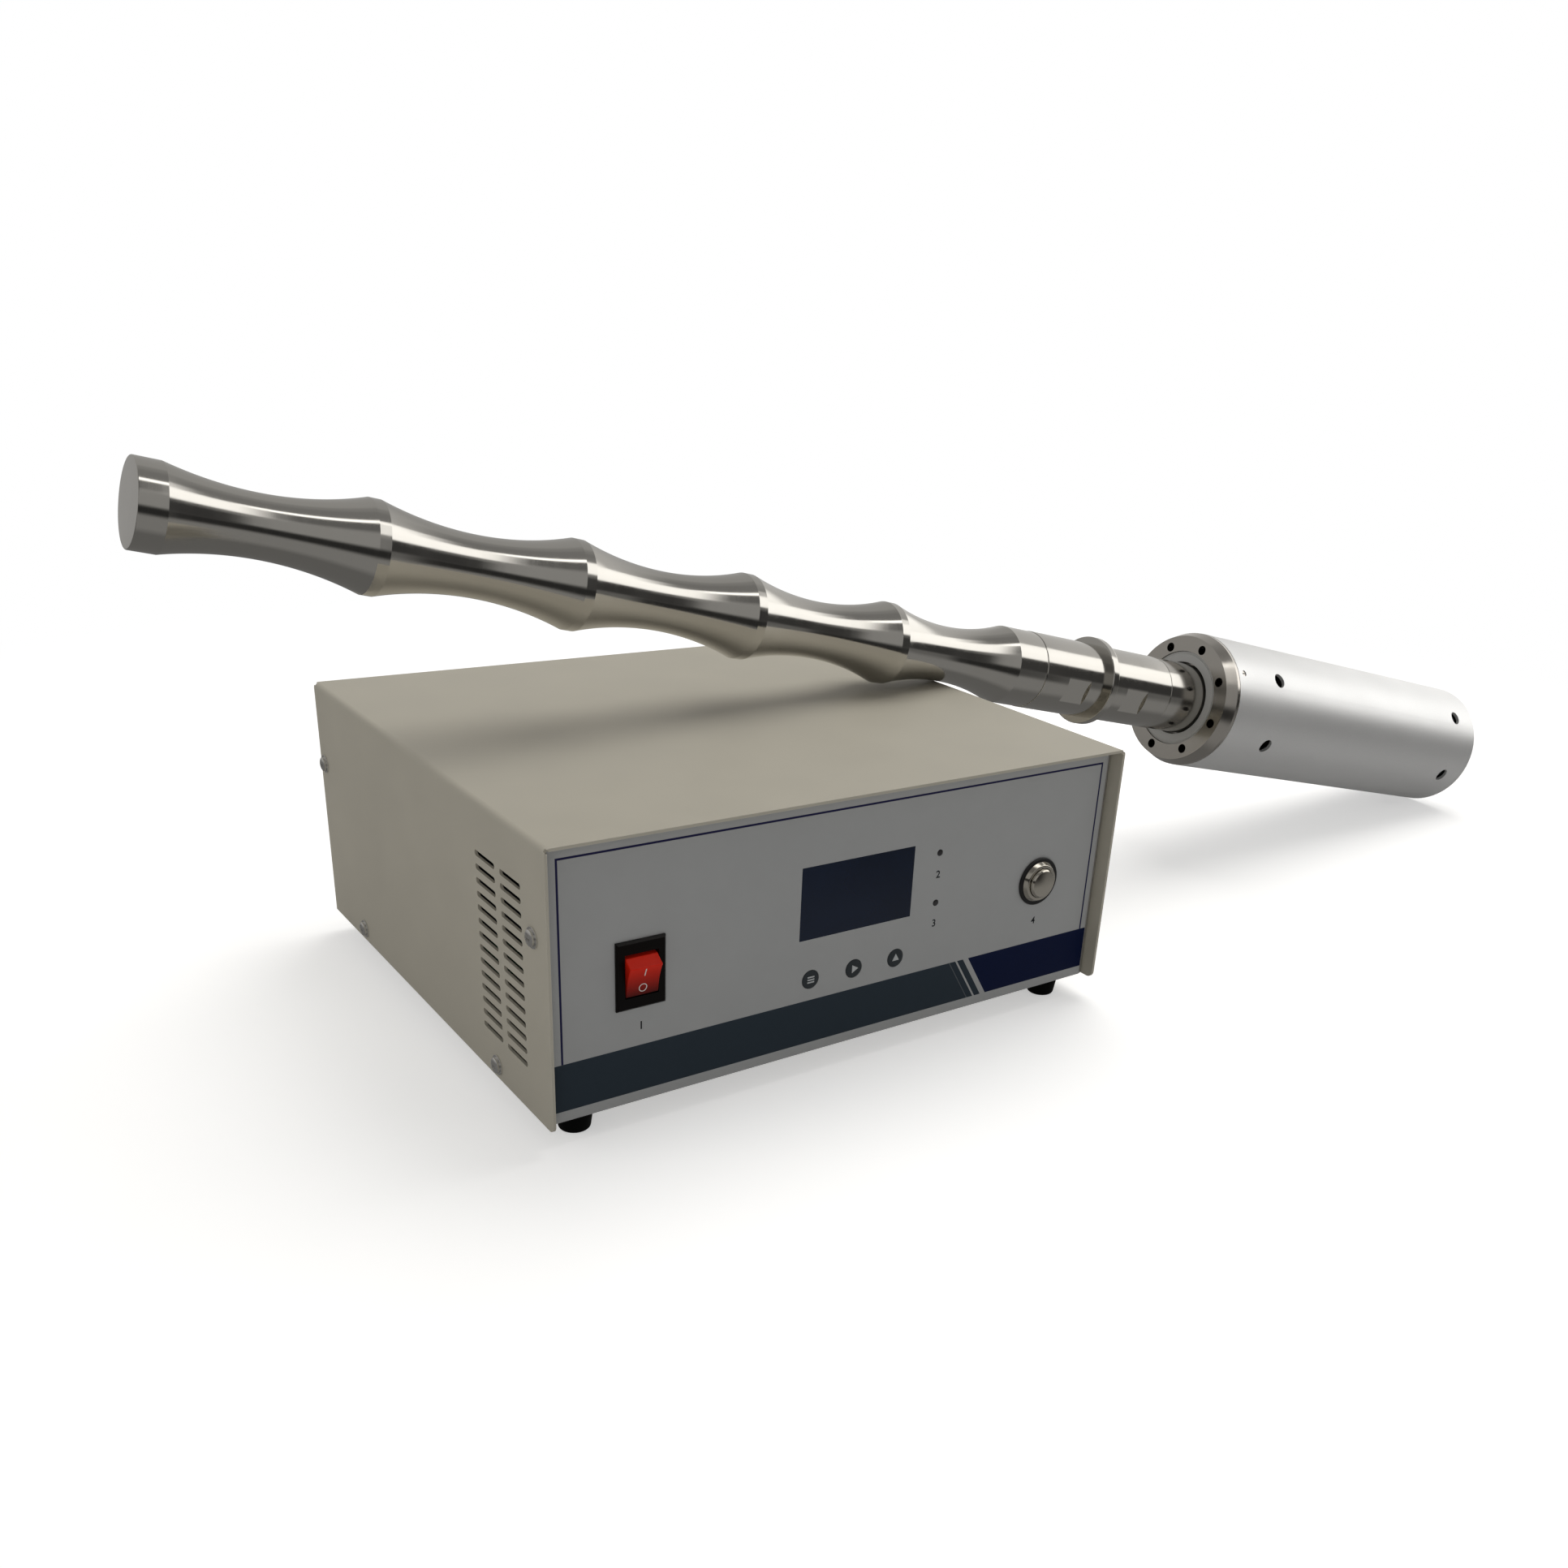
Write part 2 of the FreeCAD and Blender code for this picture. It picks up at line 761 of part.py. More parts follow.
def cover_shell():
    """The bent cover: a top and two cheeks, a relief at each bend's end, vent slots and screw holes."""
    piece = Piece("cover_shell")
    inner_right = "cover_width - sheet_thickness"
    inner_top = "cover_height - sheet_thickness"
    profile = piece.sketch("XZ").chain([
        ("0", "0"), ("0", "cover_height"), ("cover_width", "cover_height"), ("cover_width", "0"),
        (inner_right, "0"), (inner_right, inner_top), ("sheet_thickness", inner_top), ("sheet_thickness", "0"),
    ])
    piece.pad(profile, "cover_depth")
    top = value("cover_height")
    side = value("cover_width")
    wall = value("sheet_thickness")

    def bend(distance):
        def chosen(middle, edge):
            near_top = abs(middle.z - (top - distance)) < SMALL
            return near_top and min(abs(middle.x - distance), abs(middle.x - side + distance)) < SMALL
        return chosen

    piece.soften("Fillet", "bend_radius", bend(0))
    piece.soften("Fillet", "bend_radius - sheet_thickness", bend(wall))

    def cheek_corner(middle, edge):
        return abs(middle.z) < SMALL and abs(middle.y) < SMALL and abs(edge.Length - wall) < SMALL

    piece.soften("Fillet", "cheek_corner_radius", cheek_corner)
    middle = "bend_radius - (bend_radius - sheet_thickness / 2) / sqrt(2)"
    for start in ("-cut_spare", "cover_depth - corner_relief_depth"):
        relief = piece.sketch("XZ", start)
        for x in (middle, f"cover_width - ({middle})"):
            relief.circle(x, f"cover_height - ({middle})", "corner_relief_radius")
        piece.pocket(relief, "corner_relief_depth + cut_spare")
    slots = piece.sketch("YZ", "-cut_spare")
    slots.slot("slot_front", "slot_first_row", "slot_length", "slot_height")
    slots.slot("slot_front + slot_column_pitch", "slot_first_row", "slot_length", "slot_height")
    slit = piece.pocket(slots, "cover_width + 2 * cut_spare")
    piece.row([slit], slots, "V_Axis", "slot_row_pitch * (slot_rows - 1)", "slot_rows")
    holes = piece.sketch("YZ", "-cut_spare")
    for across, up in SIDE_SCREWS:
        holes.circle(across, up, "screw_hole_radius")
    piece.pocket(holes, "cover_width + 2 * cut_spare")
    piece.done(BOX_FRAME)


def foot_places():
    """The four feet's centres under the tray."""
    left = value("foot_inset_x")
    right = value("cover_width - foot_inset_x")
    front = value("foot_inset_y")
    back = value("cover_depth - foot_inset_y")
    return [(x, y) for x in (left, right) for y in (front, back)]


def base_tray():
    """The bottom plate with upturned flanges that take the lower cover screws."""
    piece = Piece("base_tray")
    depth = f"({REAR_INSIDE}) - ({PANEL_BACK})"
    plate = piece.sketch("XY").rectangle(INSIDE_LEFT, PANEL_BACK, INSIDE_WIDTH, depth)
    piece.pad(plate, "sheet_thickness")
    flanges = piece.sketch("XY")
    reach = "cover_depth - tray_flange_rear_inset - tray_flange_front"
    flanges.rectangle(INSIDE_LEFT, "tray_flange_front", "sheet_thickness", reach)
    right_flange = f"cover_width - ({INSIDE_LEFT}) - sheet_thickness"
    flanges.rectangle(right_flange, "tray_flange_front", "sheet_thickness", reach)
    piece.pad(flanges, "tray_flange_height")
    lip = piece.sketch("XY")
    lip.rectangle("tray_flange_front", PANEL_BACK, "cover_width - 2 * tray_flange_front", "sheet_thickness")
    lip_rear = f"({REAR_INSIDE}) - sheet_thickness"
    lip.rectangle("tray_flange_front", lip_rear, "cover_width - 2 * tray_flange_front", "sheet_thickness")
    piece.pad(lip, "tray_lip_height")
    holes = piece.sketch("YZ")
    for across, up in SIDE_SCREWS[2:]:
        holes.circle(across, up, "screw_radius + screw_clearance")
    piece.pocket(holes, "cover_width")
    feet = piece.sketch("XY", "-cut_spare")
    for x in ("foot_inset_x", "cover_width - foot_inset_x"):
        for y in ("foot_inset_y", "cover_depth - foot_inset_y"):
            feet.circle(x, y, "foot_screw_radius + screw_clearance")
    piece.pocket(feet, "sheet_thickness + 2 * cut_spare")
    piece.done(BOX_FRAME)


def cover_screws():
    """Eight pan-head screws with washers, four in each cheek."""
    screw = pan_screw(
        value("screw_radius"), value("screw_length"), value("screw_head_radius"), value("screw_head_height"),
        value("screw_washer_radius"), value("screw_washer_thickness"),
    )
    shapes = []
    for across, up in SIDE_SCREWS:
        shapes.append(placed(screw, (0, value(across), value(up)), (-1, 0, 0)))
        shapes.append(placed(screw, (value("cover_width"), value(across), value(up)), (1, 0, 0)))
    shaped("cover_screws", shapes, BOX_FRAME)


def feet():
    """Rubber feet, wider at the top, each with a bore for its screw."""
    tall = value("foot_height")
    deep = value("foot_bore_depth")
    hole = value("foot_screw_radius + foot_screw_clearance")
    profile = [
        (0, hole), (0, value("foot_top_radius")),
        (value("foot_height - foot_edge"), value("foot_radius")), (tall, value("foot_radius - foot_edge")),
        (tall, value("foot_bore_radius")), (tall - deep, value("foot_bore_radius")), (tall - deep, hole),
    ]
    foot = turned(profile)
    shaped("feet", [placed(foot, (x, y, 0), (0, 0, -1)) for x, y in foot_places()], BOX_FRAME)


def foot_screws():
    """A screw up through each foot into the tray."""
    seat = value("foot_height - foot_bore_depth")
    screw = pan_screw(
        value("foot_screw_radius"), seat + value("foot_screw_reach"),
        value("foot_screw_head_radius"), value("foot_screw_head_height"),
    )
    places = [placed(screw, (x, y, -seat), (0, 0, -1)) for x, y in foot_places()]
    shaped("foot_screws", places, BOX_FRAME)


# Front panel with what is mounted on it


def front_cutouts(outline):
    """The openings that the film and the panel share, seen from the front."""
    left = "rocker_x - rocker_body_width / 2 - panel_fit"
    low = "rocker_z - rocker_body_height / 2 - panel_fit"
    outline.rectangle(left, low, "rocker_body_width + 2 * panel_fit", "rocker_body_height + 2 * panel_fit")
    outline.rectangle("window_left", "window_bottom", "window_width", "window_height")
    outline.circle(BUTTON_X, "button_z", "button_barrel_radius + button_hole_clearance")
    for place in KEY_PLACES.values():
        outline.circle(key_x(place), "key_z", "key_radius + key_gap")
    for up in ("led_upper_z", "led_lower_z"):
        outline.circle("led_x", up, "led_radius + led_gap")


def folded_panel(name, outer, inner, flange_end):
    """A flat panel with a flange folded along each side, relieved at the foot for the tray."""
    piece = Piece(name)
    left = INSIDE_LEFT
    right = f"cover_width - ({INSIDE_LEFT})"
    left_inner = f"({left}) + sheet_thickness"
    right_inner = f"({right}) - sheet_thickness"
    corners = [
        (left, outer), (right, outer), (right, flange_end), (right_inner, flange_end),
        (right_inner, inner), (left_inner, inner), (left_inner, flange_end), (left, flange_end),
    ]
    profile = piece.sketch("XY", "panel_clearance").chain(corners)
    piece.pad(profile, PANEL_HEIGHT)
    face = value(outer)
    middle_x = value("cover_width / 2")
    half = middle_x - value(left)
    tall = value(PANEL_HEIGHT)

    def upright_corner(middle, edge):
        on_face = abs(middle.y - face) < SMALL and abs(abs(middle.x - middle_x) - half) < SMALL
        return on_face and abs(edge.Length - tall) < SMALL

    piece.soften("Fillet", "panel_corner_radius", upright_corner)
    relief = piece.sketch("XY", "panel_clearance")
    low = min(inner, flange_end, key=value)
    for x in (left, right_inner):
        relief.rectangle(x, low, "sheet_thickness", "panel_flange")
    piece.pocket(relief, "tray_flange_height + panel_relief")
    return piece


def front_panel():
    """The steel front panel behind the printed film."""
    flange_end = f"({PANEL_BACK}) + panel_flange"
    piece = folded_panel("front_panel", PANEL_FRONT, PANEL_BACK, flange_end)
    openings = piece.sketch("XZ", PANEL_FRONT)
    front_cutouts(openings)
    piece.pocket(openings, "sheet_thickness")
    holes = piece.sketch("YZ")
    holes.circle(*SIDE_SCREWS[0], "screw_radius + screw_clearance")
    piece.pocket(holes, "cover_width")
    piece.done(BOX_FRAME)


def front_overlay():
    """The printed film that covers the front panel."""
    piece = Piece("front_overlay")
    sheet = piece.sketch("XZ", FILM_FRONT)
    left = f"({INSIDE_LEFT}) + film_margin"
    sheet.rectangle(left, "panel_clearance", f"cover_width - 2 * ({left})", PANEL_HEIGHT)
    piece.pad(sheet, "film_thickness")
    openings = piece.sketch("XZ", FILM_FRONT)
    front_cutouts(openings)
    piece.pocket(openings, "film_thickness")
    piece.done(BOX_FRAME)


def rocker_housing():
    """The switch housing: a bezel, a snap-in body with the rocker's well, and three terminals."""
    piece = Piece("rocker_housing")
    front = f"({FILM_FRONT}) - rocker_bezel_thickness"
    bezel = piece.sketch("XZ", front)
    bezel.rectangle(
        "rocker_x - rocker_bezel_width / 2", "rocker_z - rocker_bezel_height / 2",
        "rocker_bezel_width", "rocker_bezel_height",
    )
    piece.pad(bezel, "rocker_bezel_thickness")
    face = value(front)

    def rim(middle, edge):
        return abs(middle.y - face) < SMALL

    piece.soften("Chamfer", "rocker_bezel_edge", rim)
    body = piece.sketch("XZ", FILM_FRONT)
    body.rectangle(
        "rocker_x - rocker_body_width / 2", "rocker_z - rocker_body_height / 2",
        "rocker_body_width", "rocker_body_height",
    )
    piece.pad(body, "rocker_body_depth")
    half_width = "(rocker_width / 2 + rocker_side_clearance)"
    half_height = "(rocker_half_height + rocker_end_clearance)"
    well = piece.sketch("XZ", front)
    well.rectangle(
        f"rocker_x - {half_width}", f"rocker_z - {half_height}", f"2 * {half_width}", f"2 * {half_height}",
    )
    piece.pocket(well, "rocker_well_depth")
    pivots = piece.sketch("YZ", f"rocker_x - {half_width} - rocker_pin_length")
    pivots.circle("panel_recess + rocker_pivot_depth", "rocker_z", "rocker_pin_radius + rocker_pin_clearance")
    piece.pocket(pivots, f"2 * ({half_width} + rocker_pin_length)")
    terminals = piece.sketch("XZ", f"({FILM_FRONT}) + rocker_body_depth")
    for step in (-1, 0, 1):
        middle = f"rocker_z + {step} * terminal_pitch"
        terminals.rectangle(
            "rocker_x - terminal_width / 2", f"{middle} - terminal_thickness / 2",
            "terminal_width", "terminal_thickness",
        )
    piece.pad(terminals, "terminal_length")
    piece.done(BOX_FRAME)


def power_rocker():
    """The rocker, drawn upright about its pivot pins and stored tilted to its off stop."""
    piece = Piece("power_rocker")
    outline = piece.sketch("YZ", "-rocker_width / 2")
    corners = [
        ("-rocker_end_reach", "rocker_half_height"), ("rocker_back", "rocker_half_height - rocker_back_taper"),
        ("rocker_back", "rocker_back_taper - rocker_half_height"), ("-rocker_end_reach", "-rocker_half_height"),
        ("-rocker_ridge_reach", "-rocker_ridge_height"), ("-rocker_ridge_reach", "rocker_ridge_height"),
    ]
    outline.chain(corners, {4: ("rocker_dish - rocker_ridge_reach", "0")})
    piece.pad(outline, "rocker_width")
    foremost = -value("rocker_ridge_reach") - SMALL
    rearmost = -value("rocker_end_reach") - SMALL

    def front_edge(middle, edge):
        return foremost < middle.y < rearmost

    piece.soften("Fillet", "rocker_edge", front_edge)
    pin_end = "(rocker_width / 2 + rocker_side_clearance + rocker_pin_length - rocker_pin_end_gap)"
    pins = piece.sketch("YZ", f"-{pin_end}")
    pins.circle("0", "0", "rocker_pin_radius")
    piece.pad(pins, f"2 * {pin_end}")
    pivot = Vector(value("rocker_x"), value("panel_recess + rocker_pivot_depth"), value("rocker_z"))
    tilt = Rotation(Vector(1, 0, 0), value("rocker_tilt"))
    piece.done(BOX_FRAME.multiply(Placement(pivot, tilt)))


def button_frame():
    """The start button's own frame: +X from the film's front face into the box."""
    spot = Vector(value(BUTTON_X), value(FILM_FRONT), value("button_z"))
    return BOX_FRAME.multiply(Placement(spot, Rotation(Vector(0, 0, 1), 90)))


def start_button_barrel():
    """The button's bevelled bezel and threaded barrel, open through the middle."""
    piece = Piece("start_button_barrel")
    face = "-button_seal_thickness - button_bezel_thickness"
    corners = [
        (face, "button_bore_radius"), (face, "button_bezel_face_radius"),
        ("-button_seal_thickness", "button_bezel_radius"), ("-button_seal_thickness", "button_barrel_radius"),
        ("button_barrel_length", "button_barrel_radius"), ("button_barrel_length", "button_bore_radius"),
    ]
    piece.turn(piece.sketch("XY").chain(corners))
    piece.done(button_frame())


def start_button_seal():
    """The rubber ring between bezel and film, round at its outer edge."""
    piece = Piece("start_button_seal")
    inner = "button_barrel_radius + button_hole_clearance"
    edge = "button_seal_radius - button_seal_thickness / 2"
    corners = [
        ("-button_seal_thickness", inner), ("0", inner), ("0", edge), ("-button_seal_thickness", edge),
    ]
    bow = ("-button_seal_thickness / 2", "button_seal_radius")
    piece.turn(piece.sketch("XY").chain(corners, {2: bow}))
    piece.done(button_frame())


def start_button_cap():
    """The sprung cap: a polished dome edge, a skirt in the barrel and a stem to the contacts."""
    piece = Piece("start_button_cap")
    face = "-button_seal_thickness - button_bezel_thickness - button_cap_stand"
    skirt = f"({face}) + button_cap_length"
    stem = f"({skirt}) + button_stem_length"
    corners = [
        (face, "0"), (face, "button_cap_radius - button_cap_edge"),
        (f"({face}) + button_cap_edge", "button_cap_radius"),
        (skirt, "button_cap_radius"), (skirt, "button_stem_radius"), (stem, "button_stem_radius"), (stem, "0"),
    ]
    piece.turn(piece.sketch("XY").chain(corners))
    piece.done(button_frame())


def start_button_contacts():
    """The contact block that closes the barrel's rear end, with two solder tags."""
    face = "-button_seal_thickness - button_bezel_thickness - button_cap_stand"
    front = f"({face}) + button_cap_length + button_stem_length + button_travel + button_contact_gap"
    length = f"button_barrel_length - ({front})"
    disc = rod((front, "0", "0"), "X", "button_bore_radius - button_contact_fit", length)
    tags = []
    for side in (-1, 1):
        across = f"{side} * button_tag_offset - button_tag_thickness / 2"
        corner = ("button_barrel_length", across, "-button_tag_width / 2")
        tags.append(block(corner, ("button_tag_length", "button_tag_thickness", "button_tag_width")))
    together("start_button_contacts", [fuse([disc] + tags)], button_frame())


def start_button_nut():
    """The hexagonal nut behind the front panel."""
    start = value("film_thickness + sheet_thickness")
    thick = value("button_nut_thickness")
    nut = hexagon(value("button_nut_flats"), start, thick)
    hole = value("button_barrel_radius + button_nut_clearance")
    bore = Part.makeCylinder(hole, thick, Vector(start, 0, 0), Vector(1, 0, 0))
    shaped("start_button_nut", [nut.cut(bore)], button_frame())


def lcd_window():
    """The clear window that fills the cut-out in film and panel."""
    size = ("window_width", "film_thickness + sheet_thickness", "window_height")
    together("lcd_window", [block(("window_left", FILM_FRONT, "window_bottom"), size)], BOX_FRAME)


def lcd_module():
    """The display module between the panel's back and the control board."""
    corner = ("window_left - module_margin", PANEL_BACK, "window_bottom - module_margin")
    size = ("window_width + 2 * module_margin", "board_standoff", "window_height + 2 * module_margin")
    together("lcd_module", [block(corner, size)], BOX_FRAME)


def control_board():
    """The control board behind the front panel."""
    size = ("board_width", "board_thickness", "board_height")
    together("control_board", [block(("board_left", BOARD_FRONT, "board_bottom"), size)], BOX_FRAME)


def board_standoffs():
    """Four pillars between the panel and the control board."""
    pillars = []
    for x in ("board_left + standoff_inset", "board_left + board_width - standoff_inset"):
        for z in ("board_bottom + standoff_inset", "board_bottom + board_height - standoff_inset"):
            pillars.append(rod((x, PANEL_BACK, z), "Y", "standoff_radius", "board_standoff"))
    together("board_standoffs", pillars, BOX_FRAME)


def tact_switches():
    """A small push switch on the board behind each key."""
    switches = []
    for place in KEY_PLACES.values():
        x = key_x(place)
        front = f"({BOARD_FRONT}) - tact_height"
        case = block(
            (f"{x} - tact_size / 2", front, "key_z - tact_size / 2"), ("tact_size", "tact_height", "tact_size"),
        )
        plunger = rod(
            (x, f"{front} - tact_plunger_height", "key_z"), "Y", "tact_plunger_radius", "tact_plunger_height",
        )
        switches.append(fuse([case, plunger]))
    together("tact_switches", switches, BOX_FRAME)


def keys():
    """Three round keys: a crowned face in the film and a stem to its switch."""
    tip = f"({BOARD_FRONT}) - tact_height - tact_plunger_height - key_travel - ({FILM_FRONT})"
    for name, place in KEY_PLACES.items():
        piece = Piece(name)
        rear = "key_thickness - key_stand"
        corners = [
            ("-key_stand", "0"), ("-key_edge_stand", "key_radius - key_edge"),
            ("0", "key_radius"), (rear, "key_radius"),
            (rear, "key_stem_radius"), (tip, "key_stem_radius"), (tip, "0"),
        ]
        piece.turn(piece.sketch("XY").chain(corners))
        spot = Vector(value(key_x(place)), value(FILM_FRONT), value("key_z"))
        piece.done(BOX_FRAME.multiply(Placement(spot, Rotation(Vector(0, 0, 1), 90))))


def indicator_leds():
    """Two small indicators that reach from the board to the film's face."""
    reach = value(f"({BOARD_FRONT}) - ({FILM_FRONT})")
    small = value("led_radius")
    collar = value("led_collar_radius")
    stand = value("led_stand")
    collar_front = reach - value("led_collar_setback")
    collar_back = collar_front + value("led_collar_width")
    lens = turned([
        (-stand, 0), (-stand, value("led_radius - led_edge")), (value("led_edge_depth - led_stand"), small),
        (collar_front, small), (collar_front, collar), (collar_back, collar), (collar_back, small),
        (reach, small), (reach, 0),
    ])
    places = [(value("led_x"), value(FILM_FRONT), value(up)) for up in ("led_upper_z", "led_lower_z")]
    shaped("indicator_leds", [placed(lens, spot, (0, 1, 0)) for spot in places], BOX_FRAME)


# Rear panel with the fan and the sockets


def rear_panel():
    """The rear panel: fan opening, mains inlet, fuse holder, transducer socket and earth stud."""
    flange_end = f"({REAR_INSIDE}) - panel_flange"
    piece = folded_panel("rear_panel", REAR_OUTSIDE, REAR_INSIDE, flange_end)
    openings = piece.sketch("XZ", REAR_INSIDE)
    openings.circle(FAN_X, "fan_z", "fan_bore_radius")
    for corner in FAN_CORNERS:
        across, up = fan_screw_spot(*corner)
        openings.circle(f"{FAN_X} + {across}", f"fan_z + {up}", "fan_screw_hole_radius")
    openings.rectangle(
        "inlet_x - inlet_body_width / 2 - panel_fit", "inlet_z - inlet_body_height / 2 - panel_fit",
        "inlet_body_width + 2 * panel_fit", "inlet_body_height + 2 * panel_fit",
    )
    openings.circle("fuse_x", "fuse_z", "fuse_body_radius + panel_fit")
    openings.circle("socket_x", "socket_z", "socket_body_radius + panel_fit")
    openings.circle("earth_x", "earth_z", "earth_radius + panel_fit")
    piece.pocket(openings, "sheet_thickness")
    holes = piece.sketch("YZ")
    holes.circle(*SIDE_SCREWS[1], "screw_radius + screw_clearance")
    piece.pocket(holes, "cover_width")
    piece.done(BOX_FRAME)


def fan_frame_place():
    """The fan's own frame: +X from the fan's inner face out through the rear panel."""
    spot = Vector(value(FAN_X), value(f"({REAR_INSIDE}) - fan_depth"), value("fan_z"))
    return BOX_FRAME.multiply(Placement(spot, Rotation(Vector(0, 0, 1), 90)))


def fan_frame():
    """The fan's square frame with its motor plate, four struts and bearing tube."""
    piece = Piece("fan_frame")
    half = "fan_size / 2"
    square = piece.sketch("YZ").rectangle(f"-{half}", f"-{half}", "fan_size", "fan_size")
    piece.pad(square, "fan_depth")
    corner = value("fan_size") / 2

    def upright(middle, edge):
        return abs(abs(middle.y) - corner) < SMALL and abs(abs(middle.z) - corner) < SMALL

    piece.soften("Fillet", "fan_corner_radius", upright)
    bore = piece.sketch("YZ").circle("0", "0", "fan_bore_radius")
    piece.pocket(bore, "fan_depth")
    holes = piece.sketch("YZ")
    for corner in FAN_CORNERS:
        holes.circle(*fan_screw_spot(*corner), "fan_screw_radius + fan_screw_clearance")
    piece.pocket(holes, "fan_depth")
    span = "(2 * (fan_bore_radius + fan_strut_overlap))"
    for wide, tall in ((span, "fan_strut_width"), ("fan_strut_width", span)):
        arm = piece.sketch("YZ").rectangle(f"-{wide} / 2", f"-{tall} / 2", wide, tall)
        piece.pad(arm, "fan_motor_thickness")
    plate = piece.sketch("YZ").circle("0", "0", "fan_motor_radius")
    piece.pad(plate, "fan_motor_thickness")
    tube = piece.sketch("YZ").circle("0", "0", "fan_bearing_radius")
    piece.pad(tube, "fan_motor_thickness + fan_bearing_length")
    shaft = piece.sketch("YZ", "fan_motor_thickness").circle("0", "0", "fan_shaft_radius + fan_shaft_clearance")
    piece.pocket(shaft, "fan_bearing_length")
    piece.done(fan_frame_place())


def fan_rotor():
    """The fan's hub cup with its shaft and a ring of twisted blades."""
    start = value("fan_motor_thickness + fan_hub_gap")
    end = start + value("fan_hub_length")
    outer = value("fan_hub_radius")
    inner = outer - value("fan_hub_wall")
    floor = end - value("fan_hub_wall")
    edge = value("fan_hub_edge")
    shaft = value("fan_shaft_radius")
    hub = turned([
        (start, inner), (start, outer), (end - edge, outer), (end, outer - edge), (end, 0),
        (start, 0), (start, shaft), (floor, shaft), (floor, inner),
    ])
    tip = value("fan_bore_radius - fan_blade_gap")
    middle = (start + end) / 2
    rings = []
    root = value("fan_hub_radius - fan_blade_overlap")
    for radius, pitch in ((root, value("fan_blade_pitch_root")), (tip, value("fan_blade_pitch_tip"))):
        lean = math.radians(pitch)
        along = Vector(math.cos(lean), math.sin(lean), 0) * (value("fan_blade_width") / 2)
        across = Vector(-math.sin(lean), math.cos(lean), 0) * (value("fan_blade_thickness") / 2)
        centre = Vector(middle, 0, radius)
        ahead, behind = centre + along, centre - along
        corners = [ahead + across, behind + across, behind - across, ahead - across]
        rings.append(Part.makePolygon(corners + corners[:1]))
    blade = Part.makeLoft(rings, True, True)
    trim = Part.makeCylinder(tip, end - start, Vector(start, 0, 0), Vector(1, 0, 0))
    blade = blade.common(trim)
    total = count("fan_blades")
    blades = []
    for k in range(total):
        copy = blade.copy()
        copy.rotate(Vector(0, 0, 0), Vector(1, 0, 0), 360 / total * k)
        blades.append(copy)
    shaped("fan_rotor", [hub.multiFuse(blades)], fan_frame_place())


def fan_guard():
    """The finger guard outside the panel: rings on a cross of bars, with four screw eyes."""
    piece = Piece("fan_guard")
    start = "fan_depth + sheet_thickness"
    last = "(guard_first_ring + (guard_rings - 1) * guard_ring_pitch - guard_wire / 2)"
    for wide, tall in ((f"2 * {last}", "guard_wire"), ("guard_wire", f"2 * {last}")):
        bar = piece.sketch("YZ", start).rectangle(f"-{wide} / 2", f"-{tall} / 2", wide, tall)
        piece.pad(bar, "guard_wire")
    for k in range(count("guard_rings")):
        radius = f"(guard_first_ring + {k} * guard_ring_pitch)"
        hoop = piece.sketch("YZ", start)
        hoop.circle("0", "0", radius)
        hoop.circle("0", "0", f"{radius} - guard_wire")
        piece.pad(hoop, "guard_wire")
    reach = "(fan_screw_pitch / sqrt(2))"
    half = "guard_wire / 2"
    for y, z in FAN_CORNERS:
        corners = []
        for length, side in ((last, -1), (reach, -1), (reach, 1), (last, 1)):
            across = f"({y} * {length} - {side * z} * {half}) / sqrt(2)"
            up = f"({z} * {length} + {side * y} * {half}) / sqrt(2)"
            corners.append((across, up))
        piece.pad(piece.sketch("YZ", start).chain(corners), "guard_wire")
        eye = piece.sketch("YZ", start).circle(*fan_screw_spot(y, z), "guard_eye_radius")
        piece.pad(eye, "guard_wire")
    holes = piece.sketch("YZ", start)
    for corner in FAN_CORNERS:
        holes.circle(*fan_screw_spot(*corner), "fan_screw_hole_radius")
    piece.pocket(holes, "guard_wire")
    piece.done(fan_frame_place())


def fan_screws():
    """Four screws through guard and panel into the fan."""
    screw = pan_screw(
        value("fan_screw_radius"), value("fan_screw_length"),
        value("fan_screw_head_radius"), value("screw_head_height"),
    )
    out = value("fan_depth + sheet_thickness + guard_wire")
    places = []
    for corner in FAN_CORNERS:
        across, up = fan_screw_spot(*corner)
        places.append((out, value(across), value(up)))
    shaped("fan_screws", [placed(screw, spot, (1, 0, 0)) for spot in places], fan_frame_place())


def mains_inlet():
    """The mains inlet: an outer flange, a snap-in body and the plug's cavity. No cord is fitted."""
    piece = Piece("mains_inlet")
    flange = piece.sketch("XZ", REAR_OUTSIDE).rectangle(
        "inlet_x - inlet_flange_width / 2", "inlet_z - inlet_flange_height / 2",
        "inlet_flange_width", "inlet_flange_height",
    )
    piece.pad(flange, "inlet_flange_thickness")
    body = piece.sketch("XZ", f"({REAR_OUTSIDE}) - inlet_body_depth").rectangle(
        "inlet_x - inlet_body_width / 2", "inlet_z - inlet_body_height / 2",
        "inlet_body_width", "inlet_body_height",
    )
    piece.pad(body, "inlet_body_depth")
    mouth = f"({REAR_OUTSIDE}) + inlet_flange_thickness"
    cavity = piece.sketch("XZ", f"{mouth} - inlet_cavity_depth").rectangle(
        "inlet_x - inlet_cavity_width / 2", "inlet_z - inlet_cavity_height / 2",
        "inlet_cavity_width", "inlet_cavity_height",
    )
    piece.pocket(cavity, "inlet_cavity_depth")
    piece.done(BOX_FRAME)


